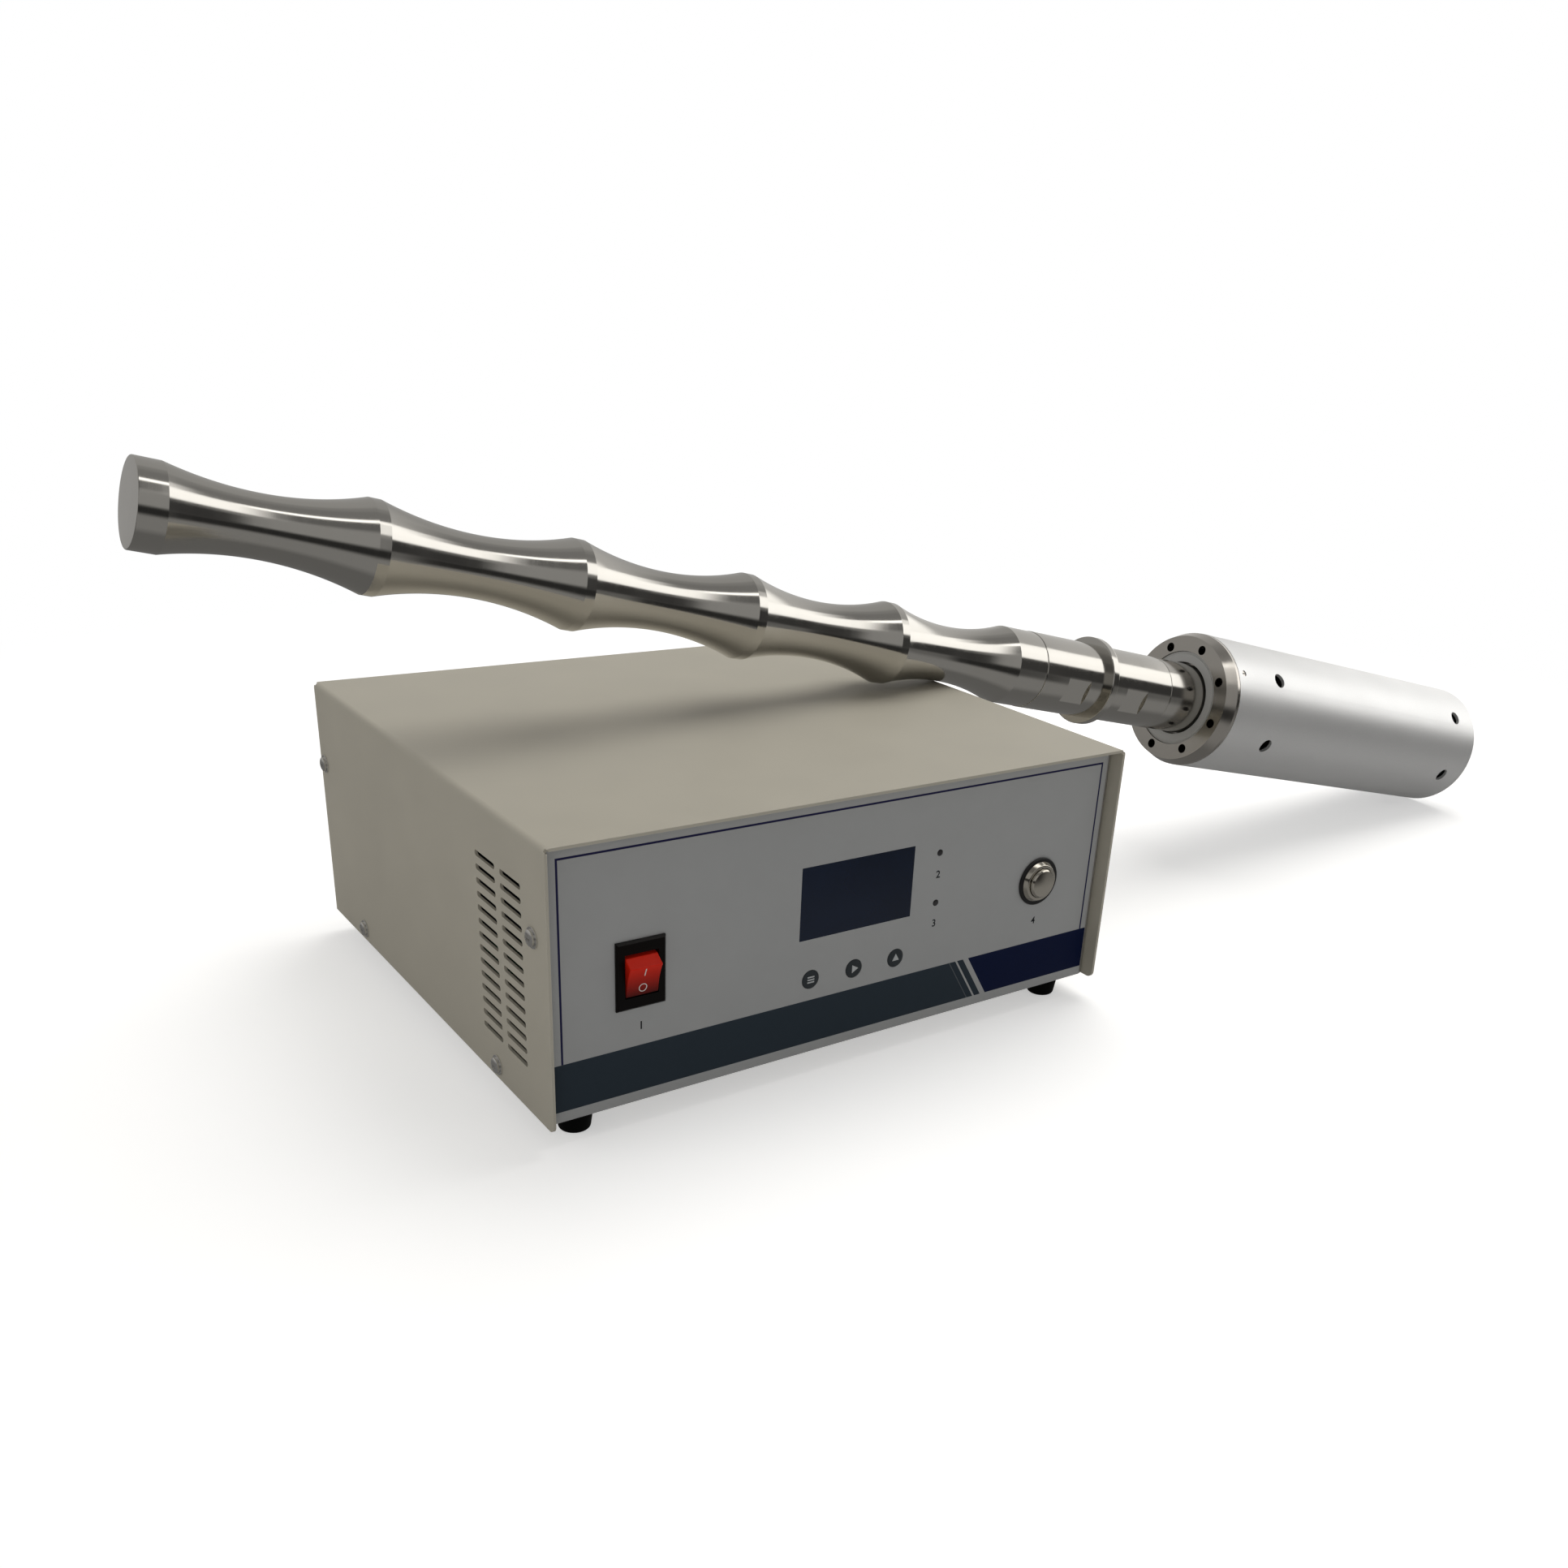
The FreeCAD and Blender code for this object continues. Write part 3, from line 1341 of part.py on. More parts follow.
def inlet_pins():
    """Three flat pins on the inlet's floor."""
    start = f"({REAR_OUTSIDE}) + inlet_flange_thickness - inlet_cavity_depth"
    pins = []
    for across, up in ((-1, 1), (1, 1), (0, -1)):
        corner = (
            f"inlet_x + {across} * inlet_pin_pitch - inlet_pin_thickness / 2", start,
            f"inlet_z + {up} * inlet_pin_offset - inlet_pin_width / 2",
        )
        pins.append(block(corner, ("inlet_pin_thickness", "inlet_pin_length", "inlet_pin_width")))
    together("inlet_pins", pins, BOX_FRAME)


def fuse_holder():
    """The fuse holder with its round cap."""
    tall = value("fuse_cap_height")
    edge = value("fuse_cap_edge")
    cap = value("fuse_cap_radius")
    body = value("fuse_body_radius")
    length = value("fuse_body_length")
    holder = turned([
        (-length, 0), (-length, body), (0, body), (0, cap), (tall - edge, cap), (tall, cap - edge), (tall, 0),
    ])
    spot = (value("fuse_x"), value(REAR_OUTSIDE), value("fuse_z"))
    shaped("fuse_holder", [placed(holder, spot, (0, 1, 0))], BOX_FRAME)


def socket_shell():
    """A round socket along +X: flange, barrel, cavity and a body behind the flange's face."""
    length = value("socket_barrel_length")
    depth = value("socket_cavity_depth")
    return turned([
        (-value("socket_body_length"), 0), (-value("socket_body_length"), value("socket_body_radius")),
        (0, value("socket_body_radius")), (0, value("socket_flange_radius")),
        (value("socket_flange_thickness"), value("socket_flange_radius")),
        (value("socket_flange_thickness"), value("socket_barrel_radius")),
        (length, value("socket_barrel_radius")), (length, value("socket_cavity_radius")),
        (length - depth, value("socket_cavity_radius")), (length - depth, 0),
    ])


def socket_pin_shapes():
    """The pins on a socket's floor."""
    start = value("socket_barrel_length - socket_cavity_depth")
    total = count("socket_pins")
    circle = value("socket_pin_circle")
    radius = value("socket_pin_radius")
    length = value("socket_pin_length")
    pins = []
    for k in range(total):
        turn = math.radians(value("socket_pin_angle") + 360 / total * k)
        spot = Vector(start, circle * math.cos(turn), circle * math.sin(turn))
        pins.append(Part.makeCylinder(radius, length, spot, Vector(1, 0, 0)))
    return pins


def transducer_socket():
    """The generator's output socket, with its contact pins as a node of their own."""
    spot = Vector(value("socket_x"), value(REAR_OUTSIDE), value("socket_z"))
    frame = BOX_FRAME.multiply(Placement(spot, Rotation(Vector(0, 0, 1), 90)))
    shaped("transducer_socket", [socket_shell()], frame)
    shaped("socket_pins", socket_pin_shapes(), frame)


def earth_stud():
    """The earthing stud with a nut on each side of the rear panel."""
    radius = value("earth_radius")
    wall = value("sheet_thickness")
    inside = value("earth_nut_thickness + sheet_thickness + earth_thread_end")
    stud = Part.makeCylinder(radius, value("earth_length"), Vector(-inside, 0, 0), Vector(1, 0, 0))
    flats = value("earth_nut_flats")
    thick = value("earth_nut_thickness")
    whole = stud.multiFuse([hexagon(flats, 0, thick), hexagon(flats, -wall - thick, thick)])
    spot = (value("earth_x"), value(REAR_OUTSIDE), value("earth_z"))
    shaped("earth_stud", [placed(whole, spot, (0, 1, 0))], BOX_FRAME)


# Power electronics on the tray


def power_board():
    """The power board on four pillars."""
    level = "sheet_thickness + power_board_standoff"
    size = (POWER_BOARD_WIDTH, "power_board_depth", "board_thickness")
    together("power_board", [block(("power_board_left", POWER_BOARD_FRONT, level), size)], BOX_FRAME)
    right = f"power_board_left + {POWER_BOARD_WIDTH}"
    back = f"{POWER_BOARD_FRONT} + power_board_depth"
    pillars = []
    for x in ("power_board_left + standoff_inset", f"{right} - standoff_inset"):
        for y in (f"{POWER_BOARD_FRONT} + standoff_inset", f"{back} - standoff_inset"):
            pillars.append(rod((x, y, "sheet_thickness"), "Z", "standoff_radius", "power_board_standoff"))
    together("power_board_standoffs", pillars, BOX_FRAME)


def capacitors():
    """Two smoothing capacitors on the power board."""
    level = "sheet_thickness + power_board_standoff + board_thickness"
    middle = f"{POWER_BOARD_FRONT} + power_board_depth / 2"
    cans = []
    for step in (0, 1):
        x = f"power_board_left + capacitor_inset + {step} * capacitor_pitch"
        cans.append(rod((x, middle, level), "Z", "capacitor_radius", "capacitor_height"))
    together("capacitors", cans, BOX_FRAME)


def heatsink():
    """The heat sink: an upright base with level fins in the fan's air."""
    piece = Piece("heatsink")
    base = piece.sketch("XY", "sheet_thickness")
    base.rectangle(HEATSINK_LEFT, HEATSINK_FRONT, "heatsink_base", "heatsink_depth")
    piece.pad(base, "heatsink_height")
    fin = piece.sketch("XZ", HEATSINK_FRONT)
    root = f"{HEATSINK_LEFT} + heatsink_base"
    fin.rectangle(root, "sheet_thickness", "heatsink_fin_length", "heatsink_fin_thickness")
    blade = piece.pad(fin, "heatsink_depth")
    piece.row([blade], fin, "V_Axis", "heatsink_height - heatsink_fin_thickness", "heatsink_fins")
    piece.done(BOX_FRAME)


def power_transistors():
    """The power transistors clamped to the heat sink's base."""
    cases = []
    for step in range(count("transistors")):
        corner = (
            f"{HEATSINK_LEFT} - transistor_thickness",
            f"{HEATSINK_FRONT} + transistor_inset + {step} * transistor_pitch",
            "sheet_thickness + transistor_rise",
        )
        cases.append(block(corner, ("transistor_thickness", "transistor_width", "transistor_height")))
    together("power_transistors", cases, BOX_FRAME)


def transformer():
    """The output transformer: a ferrite core with two windows and a winding on its middle leg."""
    core = Piece("transformer_core")
    outer = core.sketch("XZ", "core_front")
    outer.rectangle("core_left", "sheet_thickness", "core_width", "core_height")
    core.pad(outer, "core_depth")
    windows = core.sketch("XZ", "core_front")
    window = "((core_width - 4 * core_leg) / 2)"
    low = "sheet_thickness + core_leg"
    tall = "core_height - 2 * core_leg"
    windows.rectangle("core_left + core_leg", low, window, tall)
    windows.rectangle(f"core_left + 3 * core_leg + {window}", low, window, tall)
    core.pocket(windows, "core_depth")
    core.done(BOX_FRAME)
    winding = Piece("transformer_winding")
    ring = winding.sketch("XY", f"{low} + winding_gap")
    leg = f"core_left + core_leg + {window}"
    ring.rectangle(
        f"{leg} - winding_thickness", "core_front - winding_thickness",
        "2 * core_leg + 2 * winding_thickness", "core_depth + 2 * winding_thickness",
    )
    ring.rectangle(
        f"{leg} - winding_gap", "core_front - winding_gap",
        "2 * core_leg + 2 * winding_gap", "core_depth + 2 * winding_gap",
    )
    winding.pad(ring, f"{tall} - 2 * winding_gap")
    middle = Vector(value(f"{leg} + core_leg"), value("core_front + core_depth / 2"), 0)
    reach_x = value("core_leg + winding_thickness")
    reach_y = value("core_depth / 2 + winding_thickness")

    def corner(spot, edge):
        return abs(abs(spot.x - middle.x) - reach_x) < SMALL and abs(abs(spot.y - middle.y) - reach_y) < SMALL

    winding.soften("Fillet", "winding_corner_radius", corner)
    winding.done(BOX_FRAME)


def tuning_choke():
    """The tuning choke, a wound ring that lies on the tray."""
    ring = DOC.addObject("Part::Torus", "choke_ring")
    bind(ring, "Radius1", "choke_radius")
    bind(ring, "Radius2", "choke_section_radius")
    for axis, text in zip("xyz", ("choke_x", "choke_y", "sheet_thickness + choke_section_radius")):
        bind(ring, f"Placement.Base.{axis}", text)
    together("tuning_choke", [ring], BOX_FRAME)


# Probe

WAISTS = ["first", "second", "third", "fourth", "fifth"]


def crest_start(name):
    """Where a waist of the horn ends and its crest begins."""
    passed = WAISTS[:WAISTS.index(name) + 1]
    waists = " + ".join(f"{word}_waist_length" for word in passed)
    return f"(tip_land + {waists} + {len(passed) - 1} * crest_land)"


SEAM_1 = f"({crest_start(WAISTS[-1])} + horn_tail)"
SEAM_2 = f"({SEAM_1} + booster_length)"
FRONT_MASS_END = f"({SEAM_2} + front_mass_length)"
STACK_LENGTH = "(discs * disc_thickness + (discs + 1) * electrode_thickness)"
BACK_MASS_START = f"({FRONT_MASS_END} + {STACK_LENGTH})"
BACK_MASS_END = f"({BACK_MASS_START} + back_mass_length)"
FLANGE_FACE = f"({SEAM_2} + flange_place)"
HOUSING_START = f"({FLANGE_FACE} + flange_length)"
HOUSING_END = f"({HOUSING_START} + housing_length)"
CLAMP_RIM = f"({SEAM_2} + clamp_rim_place)"
TUBE_BORE = "(housing_radius - housing_wall)"
SPIGOT_RADIUS = f"({TUBE_BORE} - spigot_clearance)"
STUD_BORE = "(stud_radius + stud_clearance)"


def probe_frame(roll=0.0):
    """Where the probe lies: its fifth waist on the cover's bend, its rear rim on the bench."""
    rest = value(f"({crest_start(WAISTS[-2])} + crest_land + {crest_start(WAISTS[-1])}) / 2")
    bend = value("bend_radius")
    lift = bend + value("fifth_waist_radius + rest_gap")
    bend_height = value("foot_height + cover_height - bend_radius")
    along = value(HOUSING_END) - rest
    drop = value("housing_radius") - lift
    tilt = math.asin(bend_height / math.hypot(along, drop)) - math.atan2(drop, along)
    spot = Vector(
        value("box_left + cover_width") - bend + lift * math.sin(tilt),
        value("box_front + probe_rest_y"),
        bend_height + lift * math.cos(tilt),
    )
    turn = Rotation(Vector(0, 0, 1), value("probe_yaw")).multiply(Rotation(Vector(0, 1, 0), math.degrees(tilt)))
    slide = Placement(Vector(-rest, 0, 0), Rotation(Vector(1, 0, 0), roll))
    return Placement(spot, turn).multiply(slide)


PROBE_FRAME = probe_frame()


def horn():
    """The turned horn: narrow lands joined by round waists that grow towards the booster."""
    piece = Piece("horn")
    corners = [
        ("0", "0"), ("0", "tip_radius - tip_chamfer"),
        ("tip_chamfer", "tip_radius"), ("tip_land", "tip_radius"),
    ]
    bows = {}
    start = "tip_land"
    for name in WAISTS:
        crest = f"{name}_crest_radius"
        bows[len(corners) - 1] = (f"({start} + {crest_start(name)}) / 2", f"{name}_waist_radius")
        corners.append((crest_start(name), crest))
        if name != WAISTS[-1]:
            start = f"({crest_start(name)} + crest_land)"
            corners.append((start, crest))
    last = f"{WAISTS[-1]}_crest_radius"
    corners += [
        (f"{SEAM_1} - seam_chamfer", last), (SEAM_1, f"{last} - seam_chamfer"), (SEAM_1, STUD_BORE),
        (f"{SEAM_1} - stud_bore_depth", STUD_BORE), (f"{SEAM_1} - stud_bore_depth", "0"),
    ]
    piece.turn(piece.sketch("XY").chain(corners, bows))
    piece.done(PROBE_FRAME)


def stud(name, seam):
    """A threaded stud that joins two lengths across a seam."""
    pin = rod((f"{seam} - stud_reach", "0", "0"), "X", "stud_radius", "2 * stud_reach")
    together(name, [pin], PROBE_FRAME)


def booster():
    """The booster: a plain bar with a nodal ring and two pairs of spanner flats."""
    piece = Piece("booster")
    ring = f"({SEAM_1} + nodal_ring_place)"
    ring_end = f"({ring} + nodal_ring_width)"
    wide = "booster_radius"
    corners = [
        (SEAM_1, STUD_BORE), (SEAM_1, f"{wide} - seam_chamfer"), (f"{SEAM_1} + seam_chamfer", wide),
        (ring, wide), (ring, "nodal_ring_radius - seam_chamfer"),
        (f"{ring} + seam_chamfer", "nodal_ring_radius"), (f"{ring_end} - seam_chamfer", "nodal_ring_radius"),
        (ring_end, "nodal_ring_radius - seam_chamfer"), (ring_end, wide),
        (f"{SEAM_2} - seam_chamfer", wide), (SEAM_2, f"{wide} - seam_chamfer"), (SEAM_2, STUD_BORE),
        (f"{SEAM_2} - stud_bore_depth", STUD_BORE), (f"{SEAM_2} - stud_bore_depth", "0"),
        (f"{SEAM_1} + stud_bore_depth", "0"), (f"{SEAM_1} + stud_bore_depth", STUD_BORE),
    ]
    piece.turn(piece.sketch("XY").chain(corners))
    flats = piece.sketch("XZ", f"-{wide}")
    for place in ("flat_1_place", "flat_2_place"):
        left = f"{SEAM_1} + {place}"
        flats.rectangle(left, "flat_across / 2", "flat_width", wide)
        flats.rectangle(left, f"-flat_across / 2 - {wide}", "flat_width", wide)
    piece.pocket(flats, f"2 * {wide}")
    piece.done(probe_frame(-value("flat_angle")))


def front_mass():
    """The transducer's front mass with the thin rim that the housing clamps."""
    piece = Piece("front_mass")
    wide = "booster_radius"
    end = FRONT_MASS_END
    rim_end = f"{CLAMP_RIM} + clamp_rim_width"
    bore_end = f"{end} - bolt_reach - bolt_bore_spare"
    corners = [
        (SEAM_2, STUD_BORE), (SEAM_2, f"{wide} - seam_chamfer"), (f"{SEAM_2} + seam_chamfer", wide),
        (CLAMP_RIM, wide), (CLAMP_RIM, "clamp_rim_radius"),
        (rim_end, "clamp_rim_radius"), (rim_end, wide), (end, wide), (end, STUD_BORE),
        (bore_end, STUD_BORE), (bore_end, "0"),
        (f"{SEAM_2} + stud_bore_depth", "0"), (f"{SEAM_2} + stud_bore_depth", STUD_BORE),
    ]
    piece.turn(piece.sketch("XY").chain(corners))
    piece.done(PROBE_FRAME)


def piezo_discs():
    """The ring-shaped ceramic discs, with an electrode before, between and after them."""
    discs = []
    for step in range(count("discs")):
        start = f"{FRONT_MASS_END} + {step + 1} * electrode_thickness + {step} * disc_thickness"
        outer = rod((start, "0", "0"), "X", "disc_radius", "disc_thickness")
        inner = rod((start, "0", "0"), "X", "disc_bore_radius", "disc_thickness")
        discs.append(cut(outer, inner))
    together("piezo_discs", discs, PROBE_FRAME)


def electrodes():
    """Thin brass rings with solder tabs that point up and down in turn."""
    rings = []
    for step in range(count("discs") + 1):
        start = f"{FRONT_MASS_END} + {step} * (electrode_thickness + disc_thickness)"
        outer = rod((start, "0", "0"), "X", "disc_radius + electrode_overhang", "electrode_thickness")
        inner = rod((start, "0", "0"), "X", "disc_bore_radius", "electrode_thickness")
        root = "disc_radius - electrode_tab_overlap"
        low = root if step % 2 else f"-({root}) - electrode_tab_length"
        tab = block(
            (start, "-electrode_tab_width / 2", low),
            ("electrode_thickness", "electrode_tab_width", "electrode_tab_length"),
        )
        rings.append(cut(fuse([outer, tab]), inner))
    together("electrodes", rings, PROBE_FRAME)


def back_mass():
    """The steel back mass that the preload bolt presses on the discs."""
    piece = Piece("back_mass")
    corners = [
        (BACK_MASS_START, STUD_BORE), (BACK_MASS_START, "back_mass_radius"),
        (f"{BACK_MASS_END} - back_mass_edge", "back_mass_radius"),
        (BACK_MASS_END, "back_mass_radius - back_mass_edge"),
        (BACK_MASS_END, STUD_BORE),
    ]
    piece.turn(piece.sketch("XY").chain(corners))
    piece.done(PROBE_FRAME)


def preload_bolt():
    """The socket-head bolt through the back mass and the discs into the front mass."""
    start = value(f"{FRONT_MASS_END} - bolt_reach")
    seat = value(BACK_MASS_END)
    top = seat + value("bolt_head_height")
    head = value("bolt_head_radius")
    edge = value("bolt_head_edge")
    shank = value("stud_radius")
    bolt = turned([
        (start, 0), (start, shank), (seat, shank), (seat, head),
        (top - edge, head), (top, head - edge), (top, 0),
    ])
    depth = value("bolt_socket_depth")
    key = hexagon(value("bolt_socket_flats"), top - depth, depth)
    shaped("preload_bolt", [bolt.cut(key)], PROBE_FRAME)


def mounting_flange():
    """The steel flange that closes the housing's front, with eight bolt holes on one circle."""
    piece = Piece("mounting_flange")
    end = f"{HOUSING_START} + flange_spigot_length"
    rim_end = f"{CLAMP_RIM} + clamp_rim_width"
    corners = [
        (FLANGE_FACE, "flange_bore_radius"), (FLANGE_FACE, "flange_face_radius"),
        (f"{FLANGE_FACE} + flange_bevel_length", "flange_rim_radius"), (HOUSING_START, "flange_rim_radius"),
        (HOUSING_START, SPIGOT_RADIUS), (end, SPIGOT_RADIUS), (end, "flange_shoulder_radius"),
        (rim_end, "flange_shoulder_radius"), (rim_end, "flange_bore_radius"),
    ]
    piece.turn(piece.sketch("XY").chain(corners))
    hole = piece.sketch("YZ", FLANGE_FACE).circle("0", "flange_hole_circle / 2", "flange_hole_radius")
    drilled = piece.pocket(hole, "flange_length + flange_spigot_length")
    piece.ring([drilled], "flange_holes")
    piece.done(probe_frame(-value("flange_hole_angle")))


def retaining_ring():
    """The screwed ring that clamps the front mass's rim, with the sealing gasket behind it."""
    start = f"({FLANGE_FACE} + retainer_sink)"
    back = f"({CLAMP_RIM} - gasket_thickness)"
    edge = "(flange_bore_radius - retainer_clearance)"
    piece = Piece("retaining_ring")
    corners = [
        (start, "retainer_bore_radius"), (start, "retainer_face_radius"),
        (f"{start} + retainer_face_depth", "retainer_face_radius"), (f"{start} + retainer_face_depth", edge),
        (back, edge), (back, "retainer_bore_radius"),
    ]
    piece.turn(piece.sketch("XY").chain(corners))
    piece.done(PROBE_FRAME)
    gasket = Piece("flange_gasket")
    bore = "retainer_bore_radius"
    corners = [(back, bore), (back, edge), (CLAMP_RIM, edge), (CLAMP_RIM, bore)]
    gasket.turn(gasket.sketch("XY").chain(corners))
    gasket.done(PROBE_FRAME)


def housing_tube():
    """The aluminium housing: a tube with two rings of vents and three set-screw holes."""
    piece = Piece("housing_tube")
    wall = piece.sketch("YZ", HOUSING_START)
    wall.circle("0", "0", "housing_radius")
    wall.circle("0", "0", TUBE_BORE)
    piece.pad(wall, "housing_length")
    vents = piece.sketch("XY")
    for place in ("vent_front_place", "vent_rear_place"):
        vents.circle(f"{HOUSING_START} + {place}", "0", "vent_radius")
    drilled = piece.pocket(vents, "housing_radius + cut_spare")
    piece.ring([drilled], "vents")
    screws = piece.sketch("XY").circle(f"{HOUSING_START} + set_screw_place", "0", "set_screw_hole_radius")
    drilled = piece.pocket(screws, "housing_radius + cut_spare")
    piece.ring([drilled], "set_screws")
    piece.done(probe_frame(-value("vent_angle")))


def set_screws():
    """Three slotted set screws that hold the tube on the flange's spigot."""
    length = value(f"housing_radius - set_screw_sink - {SPIGOT_RADIUS}")
    low = value(SPIGOT_RADIUS)
    place = value(f"{HOUSING_START} + set_screw_place")
    screw = Part.makeCylinder(value("set_screw_radius"), length, Vector(place, 0, low), Vector(0, 0, 1))
    long = 2 * value("set_screw_radius")
    wide = value("set_screw_slot_width")
    deep = value("set_screw_slot_depth")
    slot = Part.makeBox(long, wide, deep, Vector(place - long / 2, -wide / 2, low + length - deep))
    screw = screw.cut(slot)
    total = count("set_screws")
    copies = []
    for k in range(total):
        copy = screw.copy()
        copy.rotate(Vector(0, 0, 0), Vector(1, 0, 0), 360 / total * k)
        copies.append(copy)
    shaped("set_screws", copies, probe_frame(-value("vent_angle")))


def rear_cap():
    """The screwed-in rear cap with two spanner holes and the cable socket's bore."""
    piece = Piece("rear_cap")
    back = f"({HOUSING_END} - cap_sink)"
    disc = piece.sketch("YZ", f"{back} - cap_thickness").circle("0", "0", f"{TUBE_BORE} - cap_clearance")
    piece.pad(disc, "cap_thickness")
    bore = piece.sketch("YZ", f"{back} - cap_thickness").circle("0", "0", "socket_body_radius + panel_fit")
    piece.pocket(bore, "cap_thickness")
    spanner = piece.sketch("YZ", f"{back} - cap_spanner_depth")
    for side in (-1, 1):
        spanner.circle("0", f"{side} * cap_spanner_circle / 2", "cap_spanner_radius")
    piece.pocket(spanner, "cap_spanner_depth")
    holes = piece.sketch("YZ", f"{back} - cap_screw_length")
    holes.circle("0", "cap_screw_circle / 2", "cap_screw_radius + screw_clearance")
    drilled = piece.pocket(holes, "cap_screw_length")
    piece.ring([drilled], "cap_screws")
    piece.done(PROBE_FRAME)


def cable_socket():
    """The probe's cable socket on the rear cap. No cable is fitted."""
    back = value(f"{HOUSING_END} - cap_sink")
    flange = value("socket_flange_thickness")
    circle = value("cap_screw_circle") / 2
    total = count("cap_screws")
    turns = [math.radians(360 / total * k) for k in range(total)]
    spots = [Vector(0, circle * math.sin(turn), circle * math.cos(turn)) for turn in turns]
    shell = socket_shell().multiFuse(socket_pin_shapes())
    hole = value("cap_screw_radius + screw_clearance")
    for spot in spots:
        shell = shell.cut(Part.makeCylinder(hole, flange, spot, Vector(1, 0, 0)))
    shell.translate(Vector(back, 0, 0))
    shaped("cable_socket", [shell], PROBE_FRAME)
    screw = pan_screw(
        value("cap_screw_radius"), value("cap_screw_length"),
        value("cap_screw_head_radius"), value("cap_screw_head_height"),
    )
    screws = [placed(screw, (back + flange, spot.y, spot.z), (1, 0, 0)) for spot in spots]
    shaped("cap_screws", screws, PROBE_FRAME)


BUILDERS = [
    cover_shell, base_tray, cover_screws, feet, foot_screws, front_panel, front_overlay, rocker_housing,
    power_rocker, start_button_barrel, start_button_seal, start_button_cap, start_button_contacts,
    start_button_nut, lcd_window, lcd_module, control_board, board_standoffs, tact_switches, keys,
    indicator_leds, rear_panel, fan_frame, fan_rotor, fan_guard, fan_screws, mains_inlet, inlet_pins,
    fuse_holder, transducer_socket, earth_stud, power_board, capacitors, heatsink, power_transistors,
    transformer, tuning_choke, horn, booster, front_mass, piezo_discs, electrodes, back_mass,
    preload_bolt, mounting_flange, retaining_ring, housing_tube, set_screws, rear_cap, cable_socket,
]


def check_document():
    """Stops when an object failed or a sub-part's shape is missing or broken."""
    DOC.recompute()
    for thing in DOC.Objects:
        if "Invalid" in thing.State or "Error" in thing.State:
            raise ValueError(f"{thing.Label} failed: {thing.State}")
    for name, thing in NODES.items():
        if thing.Shape.isNull() or not thing.Shape.isValid() or not thing.Shape.Solids:
            raise ValueError(f"{name} has no valid shape")


def main():
    """Builds every sub-part, checks them all and writes them out."""
    for builder in BUILDERS:
        builder()
    stud("horn_stud", SEAM_1)
    stud("booster_stud", SEAM_2)
    check_document()
    os.makedirs("parts", exist_ok=True)
    whole = FreeCAD.BoundBox()
    for name, thing in NODES.items():
        thing.Shape.exportStep(f"parts/{name}.step")
        whole.add(thing.Shape.BoundBox)
    print(len(NODES), "nodes", whole)


main()
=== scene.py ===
import json
import logging
import math
from dataclasses import dataclass, field
from enum import Enum
from typing import Callable

import bpy
import numpy as np
from mathutils import Euler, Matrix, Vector


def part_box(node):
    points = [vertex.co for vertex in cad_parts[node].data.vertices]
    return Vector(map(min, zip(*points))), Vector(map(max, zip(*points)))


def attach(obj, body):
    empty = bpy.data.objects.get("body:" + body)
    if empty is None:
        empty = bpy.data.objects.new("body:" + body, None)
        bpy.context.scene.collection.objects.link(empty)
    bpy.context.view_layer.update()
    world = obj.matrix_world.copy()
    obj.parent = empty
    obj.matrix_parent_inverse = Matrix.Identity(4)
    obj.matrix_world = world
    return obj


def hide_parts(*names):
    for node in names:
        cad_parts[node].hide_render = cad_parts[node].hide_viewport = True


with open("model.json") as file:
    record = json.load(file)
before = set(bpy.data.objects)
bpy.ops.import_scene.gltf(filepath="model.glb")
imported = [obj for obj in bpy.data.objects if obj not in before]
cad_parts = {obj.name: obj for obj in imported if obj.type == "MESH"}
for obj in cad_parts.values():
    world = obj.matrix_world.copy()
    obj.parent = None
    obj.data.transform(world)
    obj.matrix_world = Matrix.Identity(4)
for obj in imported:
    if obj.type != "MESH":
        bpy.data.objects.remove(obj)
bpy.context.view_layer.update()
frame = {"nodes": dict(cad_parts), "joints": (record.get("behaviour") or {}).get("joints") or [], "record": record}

LOG = logging.getLogger("ultrasonic_processor")
MM = 0.001
FULL_TURN = 2 * math.pi
SHARP_ANGLE = math.radians(32)
CRISP_ANGLE = math.radians(9)
Triple = tuple[float, float, float]
Colour = Triple
Span = tuple[float, float]
Node = bpy.types.Node
Socket = bpy.types.NodeSocket
Sockets = dict[str, Socket]


# Places


@dataclass(frozen=True)
class Axis:
    """A right-handed set of axes in the row frame, with millimetres along each.

    Attributes:
        origin: The point at distance zero, in metres.
        along: Unit vector of the main axis.
        side: Unit vector across it.
        up: Unit vector across both.
    """

    origin: np.ndarray
    along: np.ndarray
    side: np.ndarray
    up: np.ndarray

    @classmethod
    def through(cls, origin: Vector, along: Vector, level: Vector = Vector((0, 0, 1))) -> "Axis":
        """Builds the axes from a point and a direction.

        Args:
            origin: The point at distance zero, in metres.
            along: The main direction.
            level: A direction that the side axis is square to.

        Returns:
            The axes.
        """
        main = Vector(along).normalized()
        side = Vector(level).cross(main).normalized()
        up = main.cross(side)
        return cls(np.array(origin), np.array(main), np.array(side), np.array(up))

    def points(self, along: np.ndarray, side: np.ndarray, up: np.ndarray) -> np.ndarray:
        """Turns distances in millimetres into points of the row frame.

        Args:
            along: Distances along the main axis.
            side: Distances along the side axis.
            up: Distances along the up axis.

        Returns:
            An array of points in metres, with one more dimension than the distances.
        """
        reach = along[..., None] * self.along + side[..., None] * self.side + up[..., None] * self.up
        return self.origin + reach * MM


